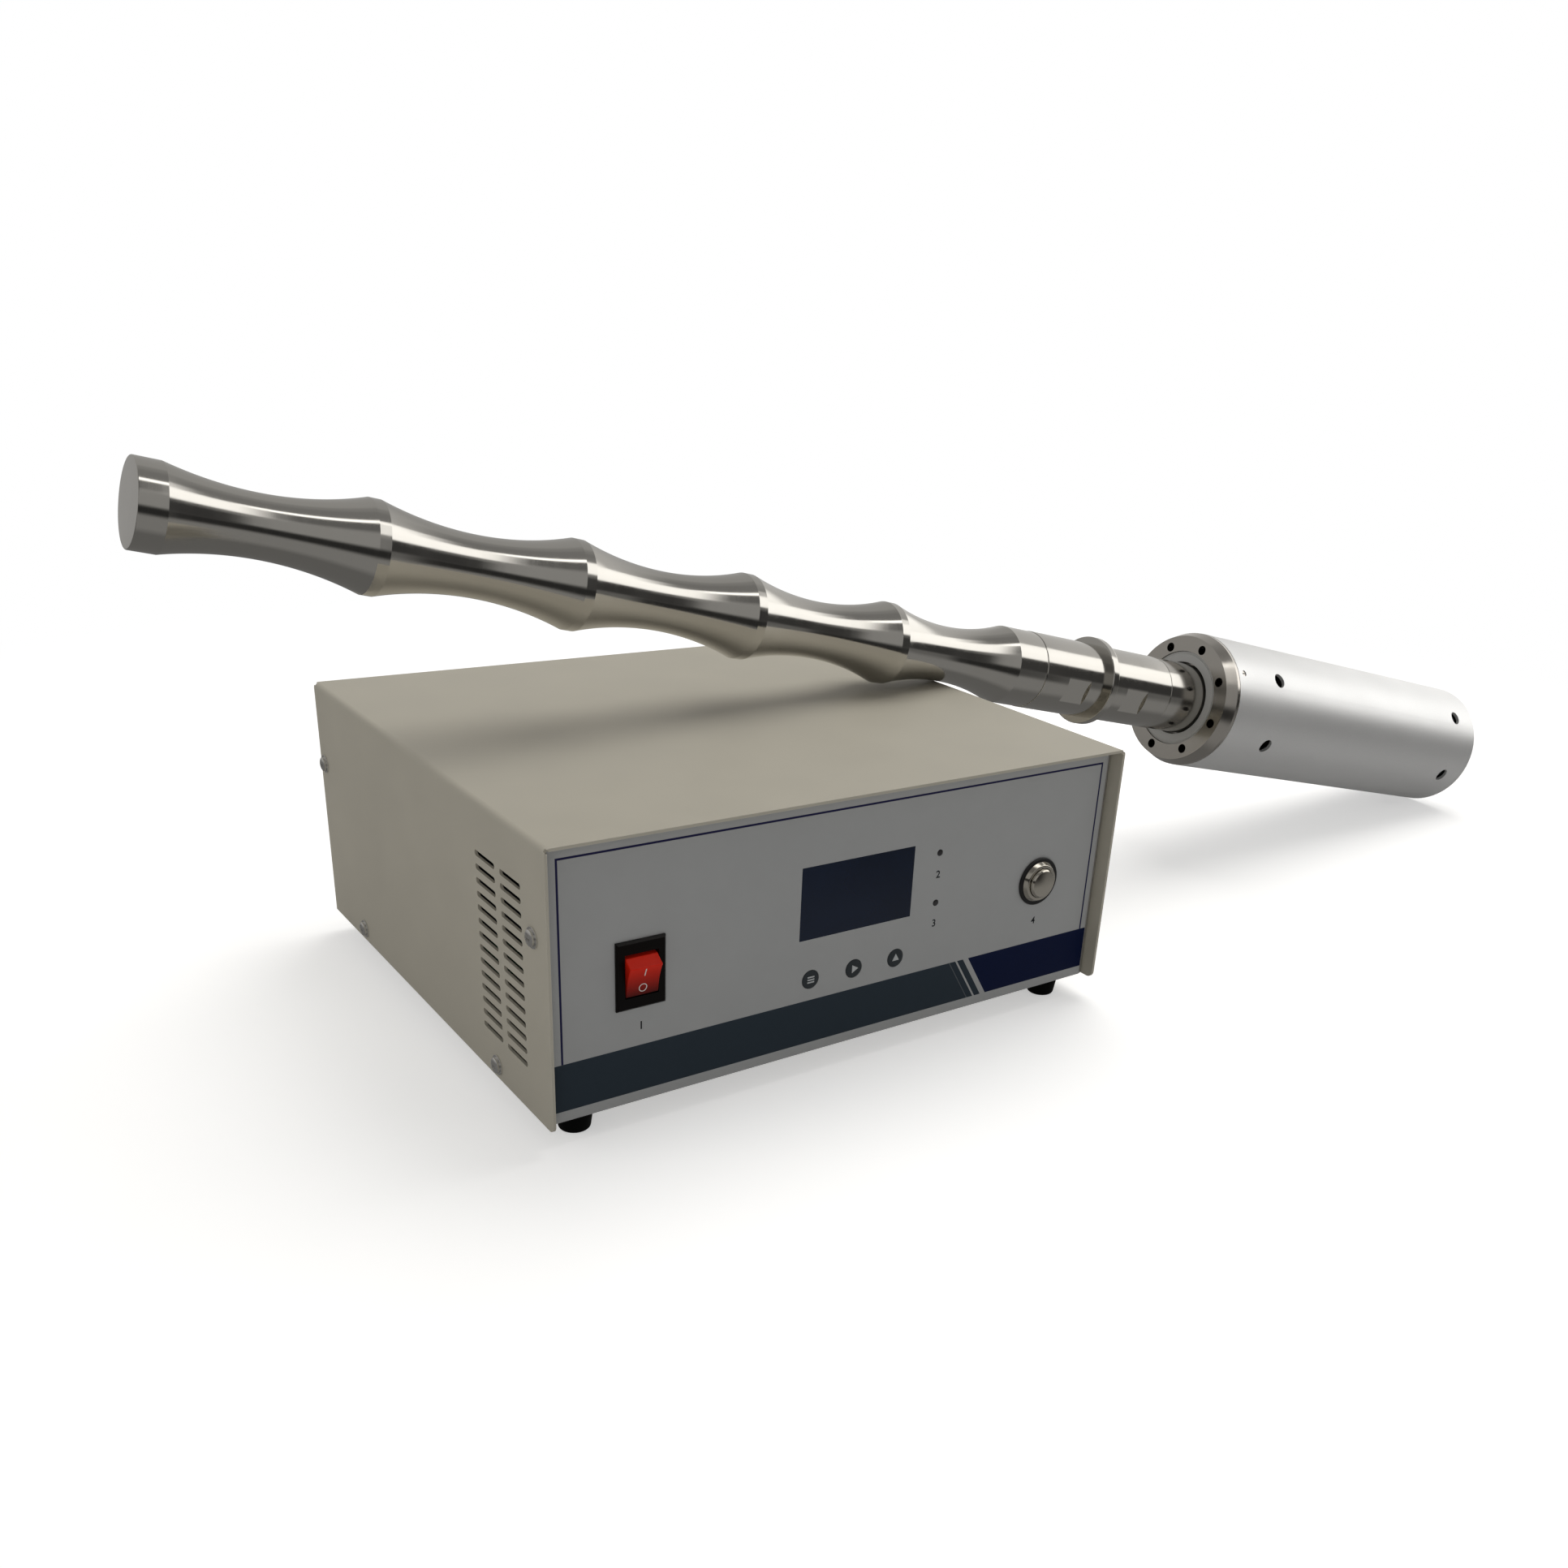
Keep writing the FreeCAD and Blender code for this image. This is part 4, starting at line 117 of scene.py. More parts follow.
def mount_place(name: str) -> tuple[Vector, Vector]:
    """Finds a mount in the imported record.

    Args:
        name: The mount's name.

    Returns:
        Its position in metres and its unit axis.
    """
    found = next(m for m in frame["record"]["mounts"] if m["name"] == name)
    return Vector(found["pos_m"]), Vector(found["axis"]).normalized()


# Meshes


def make_object(name: str, points: np.ndarray, faces: list[list[int]],
                sharp: float = SHARP_ANGLE) -> bpy.types.Object:
    """Puts points and faces into a new object at the origin, smooth where the surface is.

    Args:
        name: The object's name.
        points: An array of N points in metres.
        faces: Corner indices of each face, anticlockwise from outside.
        sharp: Edges that turn by more than this angle stay sharp.

    Returns:
        The new object, linked to the scene.
    """
    mesh = bpy.data.meshes.new(name)
    mesh.from_pydata(points.tolist(), [], faces)
    mesh.validate()
    mesh.polygons.foreach_set("use_smooth", np.ones(len(mesh.polygons), dtype=bool))
    mesh.set_sharp_from_angle(angle=sharp)
    mesh.update()
    made = bpy.data.objects.new(name, mesh)
    bpy.context.scene.collection.objects.link(made)
    return made


def arc(start: Span, middle: Span, end: Span, count: int) -> np.ndarray:
    """Samples the circle through three points, from the first to the last.

    The centre is where the perpendicular bisectors of the two chords meet, and the samples turn
    evenly about it.

    Args:
        start: First point.
        middle: A point that the arc passes through.
        end: Last point.
        count: Number of samples.

    Returns:
        An array of count points.
    """
    a, b, c = (np.array(p, dtype=float) for p in (start, middle, end))
    rows = np.array([b - a, c - b])
    centre = np.linalg.solve(rows, np.array([(b @ b - a @ a) / 2, (c @ c - b @ b) / 2]))
    first, through, last = (math.atan2(*(p - centre)[::-1]) for p in (a, b, c))
    turn = (last - first) % FULL_TURN
    if (through - first) % FULL_TURN > turn:
        turn -= FULL_TURN
    angles = first + turn * np.linspace(0, 1, count)
    return centre + np.linalg.norm(a - centre) * np.column_stack([np.cos(angles), np.sin(angles)])


def rounded(corners: list[Span], radii: dict[int, float], count: int = 13) -> np.ndarray:
    """Rounds chosen corners of an open outline.

    A rounded corner is replaced by the parabola from the point its radius before the corner to
    the point its radius after it, with the corner as the middle control point.

    Args:
        corners: The outline's points.
        radii: Rounding distance by corner index.
        count: Samples on each rounded corner.

    Returns:
        The outline as an array of points.
    """
    places = np.array(corners, dtype=float)
    pieces = []
    for index, place in enumerate(places):
        if index not in radii:
            pieces.append(place[None])
            continue
        before, after = places[index - 1] - place, places[index + 1] - place
        enter = place + before / np.linalg.norm(before) * radii[index]
        leave = place + after / np.linalg.norm(after) * radii[index]
        share = np.linspace(0, 1, count)[:, None]
        pieces.append((1 - share) ** 2 * enter + 2 * share * (1 - share) * place + share ** 2 * leave)
    return np.vstack(pieces)


def vertex_places(mesh: bpy.types.Mesh) -> np.ndarray:
    """Reads a mesh's points.

    Args:
        mesh: The mesh.

    Returns:
        An array of N points in metres.
    """
    flat = np.empty(len(mesh.vertices) * 3)
    mesh.vertices.foreach_get("co", flat)
    return flat.reshape(-1, 3)


def rectangle(low: Span, high: Span) -> np.ndarray:
    """Lists a rectangle's corners anticlockwise, from its lower left one to its upper right one."""
    return np.array([low, (high[0], low[1]), high, (low[0], high[1])])


def joined(corners: list[np.ndarray]) -> tuple[np.ndarray, list[list[int]], np.ndarray]:
    """Joins a grid of points with quads, or with triangles where two corners are one point.

    Args:
        corners: Point numbers at each quad's four corners, anticlockwise from outside.

    Returns:
        The numbers of the points used, the faces' corners among those, and which of each quad's
        corners are distinct.
    """
    quads = np.stack(corners, axis=-1).reshape(-1, 4)
    used, keep = np.unique(quads, return_inverse=True)
    quads = keep.reshape(quads.shape)
    distinct = quads != np.roll(quads, 1, axis=1)
    return used, [row[mask].tolist() for row, mask in zip(quads, distinct)], distinct


def lathe(name: str, axis: Axis, profile: np.ndarray, segments: int = 128, ring: bool = False,
          shape: Callable[[np.ndarray, np.ndarray, np.ndarray], np.ndarray] | None = None,
          sharp: float = SHARP_ANGLE) -> bpy.types.Object:
    """Turns a profile about an axis.

    A point of the surface is origin + s * along + r * (cos t * side + sin t * up), where s and r
    come from the profile, t runs evenly round the turn, and r may depend on t through shape.

    Args:
        name: The object's name.
        axis: The axis to turn about.
        profile: Points (distance along, radius) in millimetres, from the front to the rear
            along the outside. A radius of zero is a pole.
        segments: Number of steps round the turn.
        ring: Whether the profile's last point joins its first.
        shape: Gives the radius from arrays of distance, radius and angle.
        sharp: Edges that turn by more than this angle stay sharp.

    Returns:
        The turned object, with a UV map whose u runs along the profile.
    """
    turn = FULL_TURN * np.arange(segments) / segments
    s, t = np.meshgrid(profile[:, 0], turn, indexing="ij")
    r = np.repeat(profile[:, 1:], segments, axis=1)
    if shape:
        r = shape(s, r, t)
    points = axis.points(s, r * np.cos(t), r * np.sin(t)).reshape(-1, 3)
    index = np.arange(len(points)).reshape(s.shape)
    poles = profile[:, 1] == 0
    index[poles] = index[poles][:, :1]
    if ring:
        index = np.vstack([index, index[:1]])
    after = np.roll(index, -1, axis=1)
    used, faces, distinct = joined([index[:-1], after[:-1], after[1:], index[1:]])
    made = make_object(name, points[used], faces, sharp)
    steps = np.linalg.norm(np.diff(profile, axis=0), axis=1)
    reach = np.concatenate([[0], np.cumsum(steps)])
    reach = np.append(reach, reach[-1]) if ring else reach
    near, turned = np.meshgrid(reach[:-1], np.arange(segments) / segments, indexing="ij")
    far = np.repeat(reach[1:, None], segments, axis=1)
    further = turned + 1 / segments
    marks = np.stack([near, turned, near, further, far, further, far, turned], axis=-1)
    layer = made.data.uv_layers.new(name="lathe")
    marks = marks.reshape(-1, 4, 2)[distinct] * np.array([MM, 1.0])
    layer.data.foreach_set("uv", marks.astype(np.float32).ravel())
    return made


def slab(name: str, outline: np.ndarray, place: Callable[[np.ndarray, float], np.ndarray],
         lift: float, sink: float) -> bpy.types.Object:
    """Makes a thin closed plate from a flat outline that is laid on a surface.

    The upper and lower faces are the outline carried out by lift and in by sink, joined by a
    wall of one quad for each side of the outline.

    Args:
        name: The object's name.
        outline: N points (across, up) in millimetres, anticlockwise.
        place: Gives points in metres from outline points and a distance out of the surface.
        lift: How far the upper face stands out, in millimetres.
        sink: How far the lower face lies in, in millimetres.

    Returns:
        The plate.
    """
    total = len(outline)
    points = np.vstack([place(outline, lift), place(outline, -sink)])
    ring = np.arange(total)
    walls = np.stack([ring, ring + total, (ring + 1) % total + total, (ring + 1) % total], axis=-1)
    faces = [ring.tolist(), (ring[::-1] + total).tolist(), *walls.tolist()]
    return make_object(name, points, faces)


def band(name: str, path: np.ndarray, width: float, place: Callable[[np.ndarray, float], np.ndarray],
         lift: float, sink: float) -> bpy.types.Object:
    """Makes a flat closed ring from a path that returns to its start.

    The ring's section is a rectangle that is carried along the path: its corners lie half the
    width to each side of the path, at lift and at minus sink.

    Args:
        name: The object's name.
        path: N points (across, up) in millimetres, anticlockwise.
        width: The ring's width in millimetres.
        place: Gives points in metres from path points and a distance out of the surface.
        lift: How far the upper face stands out, in millimetres.
        sink: How far the lower face lies in, in millimetres.

    Returns:
        The ring.
    """
    along = np.roll(path, -1, axis=0) - np.roll(path, 1, axis=0)
    normal = np.column_stack([along[:, 1], -along[:, 0]])
    normal /= np.linalg.norm(normal, axis=1)[:, None]
    outer, inner = path + normal * width / 2, path - normal * width / 2
    rings = [place(outer, lift), place(inner, lift), place(inner, -sink), place(outer, -sink)]
    total = len(path)
    index = np.arange(4 * total).reshape(4, total)
    nearer = np.roll(index, -1, axis=1)
    below = np.roll(index, -1, axis=0)
    further = np.roll(nearer, -1, axis=0)
    quads = np.stack([index, nearer, further, below], axis=-1).reshape(-1, 4)
    return make_object(name, np.vstack(rings), quads.tolist())


def merged(name: str, pieces: list[bpy.types.Object]) -> bpy.types.Object:
    """Joins several new objects into one.

    Args:
        name: The joined object's name.
        pieces: The objects, each at the origin.

    Returns:
        The joined object.
    """
    points, faces, start = [], [], 0
    for piece in pieces:
        points.append(vertex_places(piece.data))
        faces += [[corner + start for corner in p.vertices] for p in piece.data.polygons]
        start += len(points[-1])
        bpy.data.objects.remove(piece)
    return make_object(name, np.vstack(points), faces)


# Node graphs


class Graph:
    """Short calls for laying out one node tree."""

    def __init__(self, tree: bpy.types.NodeTree) -> None:
        """Keeps the tree to add to."""
        self.tree = tree

    @classmethod
    def of(cls, owner: bpy.types.ID) -> "Graph":
        """Turns on the nodes of a material or a world and clears them."""
        owner.use_nodes = True
        owner.node_tree.nodes.clear()
        return cls(owner.node_tree)

    def feed(self, node: Node, given: dict) -> None:
        """Gives a node's inputs, by name or index, numbers, colours or output sockets."""
        for key, source in given.items():
            if isinstance(source, Socket):
                self.tree.links.new(source, node.inputs[key])
            else:
                node.inputs[key].default_value = source

    def add(self, kind: str, given: dict | None = None, **settings: object) -> Node:
        """Adds a node.

        Args:
            kind: The node's type name.
            given: What its inputs get.
            settings: The node's own properties.

        Returns:
            The new node.
        """
        node = self.tree.nodes.new(kind)
        for key, setting in settings.items():
            setattr(node, key, setting)
        self.feed(node, given or {})
        return node

    def group(self, tree: bpy.types.NodeTree, **given: object) -> Sockets:
        """Adds a shared group and returns its outputs."""
        return self.add("ShaderNodeGroup", given, node_tree=tree).outputs

    def math(self, operation: str, *given: object, clamp: bool = False) -> Socket:
        """Adds a Math node and returns its output."""
        node = self.add("ShaderNodeMath", dict(enumerate(given)), operation=operation, use_clamp=clamp)
        return node.outputs[0]

    def vector(self, operation: str, *given: object) -> Node:
        """Adds a Vector Math node and returns it."""
        return self.add("ShaderNodeVectorMath", dict(enumerate(given)), operation=operation)

    def ramp(self, value: object, low: float, high: float, start: float = 0.0, end: float = 1.0) -> Socket:
        """Takes low..high to start..end, and keeps to those two outside."""
        return self.add("ShaderNodeMapRange", {0: value, 1: low, 2: high, 3: start, 4: end}).outputs[0]

    def between(self, value: object, low: float, high: float, soft: float) -> Socket:
        """A mask that is one where the value lies between two limits, with soft edges."""
        rise = self.ramp(value, low - soft, low + soft)
        fall = self.ramp(value, high - soft, high + soft, 1.0, 0.0)
        return self.math("MULTIPLY", rise, fall)

    def blend(self, mask: object, first: object, second: object) -> Socket:
        """A colour that goes from the first to the second as the mask goes from zero to one."""
        first, second = (c if isinstance(c, Socket) else (*c, 1.0) for c in (first, second))
        return self.add("ShaderNodeMix", {0: mask, 6: first, 7: second}, data_type="RGBA").outputs[2]

    def noise(self, place: object, scale: object, detail: float = 2.0) -> Socket:
        """A three-dimensional noise value between zero and one."""
        given = {"Vector": place, "Scale": scale, "Detail": detail}
        return self.add("ShaderNodeTexNoise", given).outputs[0]


def shared_group(name: str, inputs: dict[str, tuple[str, object]], outputs: list[str],
                 lay: Callable[[Graph, Sockets], Sockets]) -> bpy.types.NodeTree:
    """Builds a shader node group once and returns it afterwards.

    Args:
        name: The group's name.
        inputs: Socket type and default by input name, beside the place.
        outputs: Names of the outputs, all plain values.
        lay: Lays the nodes out from the input sockets and returns the output sockets.

    Returns:
        The group.
    """
    if name in bpy.data.node_groups:
        return bpy.data.node_groups[name]
    tree = bpy.data.node_groups.new(name, "ShaderNodeTree")
    for label, (kind, default) in {"Place": ("Vector", (0, 0, 0)), **inputs}.items():
        socket = tree.interface.new_socket(name=label, in_out="INPUT", socket_type=f"NodeSocket{kind}")
        socket.default_value = default
    for label in outputs:
        tree.interface.new_socket(name=label, in_out="OUTPUT", socket_type="NodeSocketFloat")
    graph = Graph(tree)
    entry = graph.add("NodeGroupInput")
    graph.add("NodeGroupOutput", lay(graph, entry.outputs))
    return tree


def grain_group() -> bpy.types.NodeTree:
    """Fine grain and broad mottling of a surface: two noises of one size and of sixty times it."""
    def lay(graph: Graph, given: Sockets) -> Sockets:
        """Two noises on the object's own coordinates."""
        scale = graph.math("DIVIDE", 1.0, given["Size"])
        fine = graph.noise(given["Place"], scale, 3.0)
        broad = graph.noise(given["Place"], graph.math("DIVIDE", scale, 60.0), 3.0)
        return {"Grain": fine, "Mottle": broad}

    return shared_group("surface_grain", {"Size": ("Float", MM)}, ["Grain", "Mottle"], lay)


def lathe_group() -> bpy.types.NodeTree:
    """Turning marks: noise along one line, read at the distance along the axis plus the radius.

    It also gives the radius itself, in metres.
    """
    def lay(graph: Graph, given: Sockets) -> Sockets:
        """Rings on round faces and circles on flat ones, from the same coordinate."""
        reach = graph.vector("SUBTRACT", given["Place"], given["Origin"]).outputs[0]
        along = graph.vector("DOT_PRODUCT", reach, given["Direction"]).outputs["Value"]
        shadow = graph.add("ShaderNodeVectorMath", {0: given["Direction"], "Scale": along}, operation="SCALE")
        across = graph.vector("SUBTRACT", reach, shadow.outputs[0]).outputs[0]
        radius = graph.vector("LENGTH", across).outputs["Value"]
        place = graph.math("DIVIDE", graph.math("ADD", along, radius), given["Pitch"])
        marks = {"Radius": radius}
        for label, scale, detail in (("Lines", 1.0, 3.0), ("Bands", 0.06, 2.0)):
            line = {"Scale": scale, "Detail": detail, "W": place}
            marks[label] = graph.add("ShaderNodeTexNoise", line, noise_dimensions="1D").outputs[0]
        return marks

    inputs = {
        "Origin": ("Vector", (0, 0, 0)), "Direction": ("Vector", (1, 0, 0)), "Pitch": ("Float", MM),
    }
    return shared_group("lathe_lines", inputs, ["Lines", "Bands", "Radius"], lay)


def worn_lit_edge_group() -> bpy.types.NodeTree:
    """Edges for wear and a painted edge highlight: one where a rounded normal turns away from the true one, broken
    up by noise.
    """
    def lay(graph: Graph, given: Sockets) -> Sockets:
        """The rounded normal comes from the Bevel node, whose samples stay few."""
        soft = graph.add("ShaderNodeBevel", {"Radius": given["Width"]}, samples=4).outputs[0]
        true = graph.add("ShaderNodeNewGeometry").outputs["Normal"]
        match = graph.vector("DOT_PRODUCT", soft, true).outputs["Value"]
        turned = graph.math("MULTIPLY", graph.math("SUBTRACT", 1.0, match), 9.0, clamp=True)
        broken = graph.ramp(graph.noise(given["Place"], 220.0, 4.0), 0.0, 1.0, 0.2, 1.4)
        return {"Edge": graph.math("MULTIPLY", turned, broken, clamp=True)}

    return shared_group("edge_wear_and_highlight", {"Width": ("Float", MM)}, ["Edge"], lay)


def dust_group() -> bpy.types.NodeTree:
    """Settled dust: thin on faces that look up, in soft patches."""
    def lay(graph: Graph, given: Sockets) -> Sockets:
        """The share of the normal that points up, times a broad noise."""
        normal = graph.add("ShaderNodeNewGeometry").outputs["Normal"]
        upward = graph.add("ShaderNodeSeparateXYZ", {0: normal}).outputs["Z"]
        patches = graph.noise(given["Place"], 14.0, 5.0)
        return {"Dust": graph.math("MULTIPLY", graph.ramp(upward, 0.3, 1.0), patches)}

    return shared_group("settled_dust", {}, ["Dust"], lay)


# Finishes


@dataclass(frozen=True)
class Finish:
    """What every finish has: a name, a colour, and how rough, uneven and grainy it is.

    Attributes:
        name: The material's name, which is the record's slot name.
        colour: Base colour, linear.
        roughness: Mean roughness.
        metallic: One for bare metal.
        gloss: Specular level, a half for clean plastic.
        mottle: Darkest and lightest share of the colour.
        uneven: Smoothest and roughest share of the roughness.
        size: Size of the grain in metres.
        depth: Depth of the grain in metres.
    """

    name: str
    colour: Colour
    roughness: float
    metallic: float = 0.0
    gloss: float = 0.5
    mottle: Span = (0.9, 1.1)
    uneven: Span = (0.85, 1.15)
    size: float = 0.4 * MM
    depth: float = 0.01 * MM

    def material(self) -> bpy.types.Material:
        """Builds the finish's material once.

        Returns:
            The material.
        """
        label = f"finish_{self.name}"
        if label in bpy.data.materials:
            return bpy.data.materials[label]
        made = bpy.data.materials.new(label)
        graph = Graph.of(made)
        shader = graph.add("ShaderNodeBsdfPrincipled", {
            "Base Color": (*self.colour, 1.0), "Roughness": self.roughness,
            "Metallic": self.metallic, "Specular IOR Level": self.gloss,
        })
        graph.add("ShaderNodeOutputMaterial", {"Surface": shader.outputs[0]})
        self.dress(graph, shader, graph.add("ShaderNodeTexCoord").outputs["Object"])
        return made

    def dress(self, graph: Graph, shader: Node, place: Socket) -> None:
        """Adds what the finish shows over its plain colour.

        Args:
            graph: The material's node graph.
            shader: Its Principled BSDF.
            place: Object coordinates.
        """

    def grain(self, graph: Graph, place: Socket) -> Sockets:
        """The shared grain at the finish's size."""
        return graph.group(grain_group(), Place=place, Size=self.size)

    def tint(self, graph: Graph, mask: Socket) -> Socket:
        """The finish's colour, from its darkest to its lightest share by a mask."""
        darker, lighter = (tuple(min(c * share, 1.0) for c in self.colour) for share in self.mottle)
        return graph.blend(mask, darker, lighter)

    def cover(self, graph: Graph, shader: Node, colour: Socket, mask: Socket) -> None:
        """Feeds a colour, and a roughness that a mask takes from its lowest to its highest share."""
        low, high = (self.roughness * share for share in self.uneven)
        graph.feed(shader, {"Base Color": colour, "Roughness": graph.ramp(mask, 0.0, 1.0, low, high)})

    def bump(self, graph: Graph, shader: Node, height: Socket, strength: float = 1.0) -> None:
        """Feeds a height, in units of the finish's depth, to the shader's normal."""
        given = {"Height": height, "Distance": self.depth, "Strength": strength}
        graph.feed(shader, {"Normal": graph.add("ShaderNodeBump", given).outputs[0]})


@dataclass(frozen=True)
class PowderCoat(Finish):
    """Sprayed powder paint: fine orange peel, faint mottling, pale edges that are partly wear and partly a painted
    highlight, and dust.

    Attributes:
        peel: Strength of the orange peel.
        worn_and_lit: Colour of the pale edges, linear: partly wear, partly a painted edge highlight.
        edge: Width of the pale edges in metres.
        wear_and_highlight: How much of the edge wear and painted highlight shows.
        dust: Colour of the dust, linear.
        dusty: How much of the dust shows.
    """

    mottle: Span = (0.94, 1.05)
    uneven: Span = (0.87, 1.13)
    size: float = 0.55 * MM
    depth: float = 0.035 * MM
    peel: float = 0.55
    # Pale edge colour: partly wear, partly a painted highlight on the edges.
    worn_and_lit: Colour = (0.62, 0.59, 0.52)
    edge: float = 0.6 * MM
    wear_and_highlight: float = 0.4
    dust: Colour = (0.6, 0.57, 0.5)
    dusty: float = 0.1

    def dress(self, graph: Graph, shader: Node, place: Socket) -> None:
        """Mottled paint with pale edges, partly wear and partly a painted highlight, dust on top and orange peel.
        """
        grain = self.grain(graph, place)
        edges = graph.group(worn_lit_edge_group(), Place=place, Width=self.edge)["Edge"]
        paint = self.tint(graph, grain["Mottle"])
        # Pale edges: wear, and a painted highlight where the edges catch the light.
        paint = graph.blend(graph.math("MULTIPLY", edges, self.wear_and_highlight), paint, self.worn_and_lit)
        dust = graph.group(dust_group(), Place=place)["Dust"]
        paint = graph.blend(graph.math("MULTIPLY", dust, self.dusty), paint, self.dust)
        self.cover(graph, shader, paint, grain["Mottle"])
        self.bump(graph, shader, grain["Grain"], self.peel)


@dataclass(frozen=True)
class RoundMetal(Finish):
    """Metal that knows the axis it is round.

    Attributes:
        origin: A point on the axis, in metres.
        along: The axis, as a unit vector.
    """

    origin: Triple = (0.0, 0.0, 0.0)
    along: Triple = (1.0, 0.0, 0.0)

    def rings(self, graph: Graph, place: Socket) -> Sockets:
        """The shared turning marks about the axis, at the finish's size."""
        given = {"Place": place, "Origin": self.origin, "Direction": self.along, "Pitch": self.size}
        return graph.group(lathe_group(), **given)


@dataclass(frozen=True)
class TurnedMetal(RoundMetal):
    """Metal off a lathe: fine rings, uneven bands and a stretched highlight.

    Attributes:
        stretch: Anisotropy of the highlight.
        stained: Colour that the handling marks turn to, linear.
        stain_scale: Frequency of the marks per metre.
        stains: Noise where a mark begins and is full, and its weakest and strongest share.
    """

    mottle: Span = (0.93, 1.05)
    uneven: Span = (0.75, 1.3)
    size: float = 0.3 * MM
    stretch: float = 0.55
    stained: Colour = (0.5, 0.48, 0.44)
    stain_scale: float = 38.0
    stains: tuple[float, ...] = (0.55, 0.85, 0.0, 0.3)

    def dress(self, graph: Graph, shader: Node, place: Socket) -> None:
        """Rings in colour, roughness and height, and broad stains."""
        rings = self.rings(graph, place)
        stain = graph.ramp(graph.noise(place, self.stain_scale, 4.0), *self.stains)
        metal = graph.blend(stain, self.tint(graph, rings["Lines"]), self.stained)
        mixed = graph.math("ADD", rings["Lines"], rings["Bands"])
        self.cover(graph, shader, metal, graph.ramp(mixed, 0.5, 1.5))
        if self.stretch:
            tangent = graph.add("ShaderNodeTangent", direction_type="UV_MAP").outputs[0]
            graph.feed(shader, {"Anisotropic": self.stretch, "Tangent": tangent})
        self.bump(graph, shader, rings["Lines"])


@dataclass(frozen=True)
class BlastedMetal(RoundMetal):
    """Bead-blasted metal: an even satin grain with faint handling marks, and painted shade inside a tube's bore
    where one is given.

    Attributes:
        bore: Radius in metres under which a tube's inside gets painted shade.
        shade: Colour of that painted shade, linear.
    """

    mottle: Span = (0.9, 1.08)
    uneven: Span = (0.88, 1.12)
    size: float = 0.45 * MM
    depth: float = 0.012 * MM
    bore: float = 0.0
    shade: Colour = (0.012, 0.012, 0.013)

    def dress(self, graph: Graph, shader: Node, place: Socket) -> None:
        """Grain in height and brightness, broad marks in roughness, and painted shade in the bore."""
        grain = self.grain(graph, place)
        metal = self.tint(graph, grain["Grain"])
        # Painted shade: inside the bore the colour turns near black, for the dark seen through the vents.
        if self.bore:
            inside = graph.math("LESS_THAN", self.rings(graph, place)["Radius"], self.bore)
            metal = graph.blend(inside, metal, self.shade)
        self.cover(graph, shader, metal, grain["Mottle"])
        self.bump(graph, shader, grain["Grain"])


@dataclass(frozen=True)
class SheetMetal(Finish):
    """Plated or drawn metal: small spangles or drawing lines along one direction.

    Attributes:
        squeeze: How much finer the grain is along each axis.
        scale: Grain frequency per metre.
    """

    mottle: Span = (0.85, 1.1)
    uneven: Span = (0.75, 1.25)
    depth: float = 0.004 * MM
    squeeze: Triple = (1.0, 1.0, 12.0)
    scale: float = 300.0

    def dress(self, graph: Graph, shader: Node, place: Socket) -> None:
        """Drawn-out noise in brightness, roughness and height."""
        drawn = graph.add("ShaderNodeMapping", {"Vector": place, "Scale": self.squeeze}).outputs[0]
        lines = graph.noise(drawn, self.scale, 4.0)
        self.cover(graph, shader, self.tint(graph, lines), lines)
        self.bump(graph, shader, lines)


@dataclass(frozen=True)
class Moulded(Finish):
    """Moulded plastic or rubber: a fine spark-eroded grain, and a clear coat where it is glossy.

    Attributes:
        coat: Weight of the clear coat.
        coat_roughness: Roughness of the clear coat.
        dust: Colour of the dust, linear.
        dusty: How much of the dust shows.
    """

    mottle: Span = (0.88, 1.12)
    coat: float = 0.0
    coat_roughness: float = 0.08
    dust: Colour = (0.35, 0.34, 0.32)
    dusty: float = 0.05

    def body(self, graph: Graph, place: Socket, mottle: Socket) -> Socket:
        """The plastic's colour, with dust on it."""
        dust = graph.group(dust_group(), Place=place)["Dust"]
        return graph.blend(graph.math("MULTIPLY", dust, self.dusty), self.tint(graph, mottle), self.dust)

    def dress(self, graph: Graph, shader: Node, place: Socket) -> None:
        """Grain in height, and mottling in colour and roughness."""
        grain = self.grain(graph, place)
        self.cover(graph, shader, self.body(graph, place, grain["Mottle"]), grain["Mottle"])
        graph.feed(shader, {"Coat Weight": self.coat, "Coat Roughness": self.coat_roughness})
        self.bump(graph, shader, grain["Grain"])


@dataclass(frozen=True)
class HeightShadedPlastic(Moulded):
    """Tinted plastic with painted shade: darkest at its bottom and lightest at its top, as if lit from above.

    Attributes:
        shade_heights: Heights in metres where the painted shade is darkest and the colour is brightest.
    """

    shade_heights: Span = (0.0, 1.0)

    def body(self, graph: Graph, place: Socket, mottle: Socket) -> Socket:
        """The plastic's colour with painted shade: its darkest share at the bottom, its lightest at the top."""
        height = graph.add("ShaderNodeSeparateXYZ", {0: place}).outputs["Z"]
        return self.tint(graph, graph.ramp(height, *self.shade_heights))


@dataclass(frozen=True)
class CircuitBoard(Finish):
    """Solder mask over copper: paler tracks in a square maze.

    Attributes:
        track: Colour where copper lies under the mask, linear.
        cells: Frequency of the maze per metre.
        gap: Width of a track as a share of a cell.
    """

    depth: float = 0.03 * MM
    track: Colour = (0.1, 0.34, 0.18)
    cells: float = 90.0
    gap: float = 0.03

    def dress(self, graph: Graph, shader: Node, place: Socket) -> None:
        """Tracks from a brick pattern, in colour and height."""
        given = {"Vector": place, "Scale": self.cells, "Mortar Size": self.gap}
        maze = graph.add("ShaderNodeTexBrick", given).outputs["Fac"]
        graph.feed(shader, {"Base Color": graph.blend(maze, self.colour, self.track)})
        self.bump(graph, shader, maze)


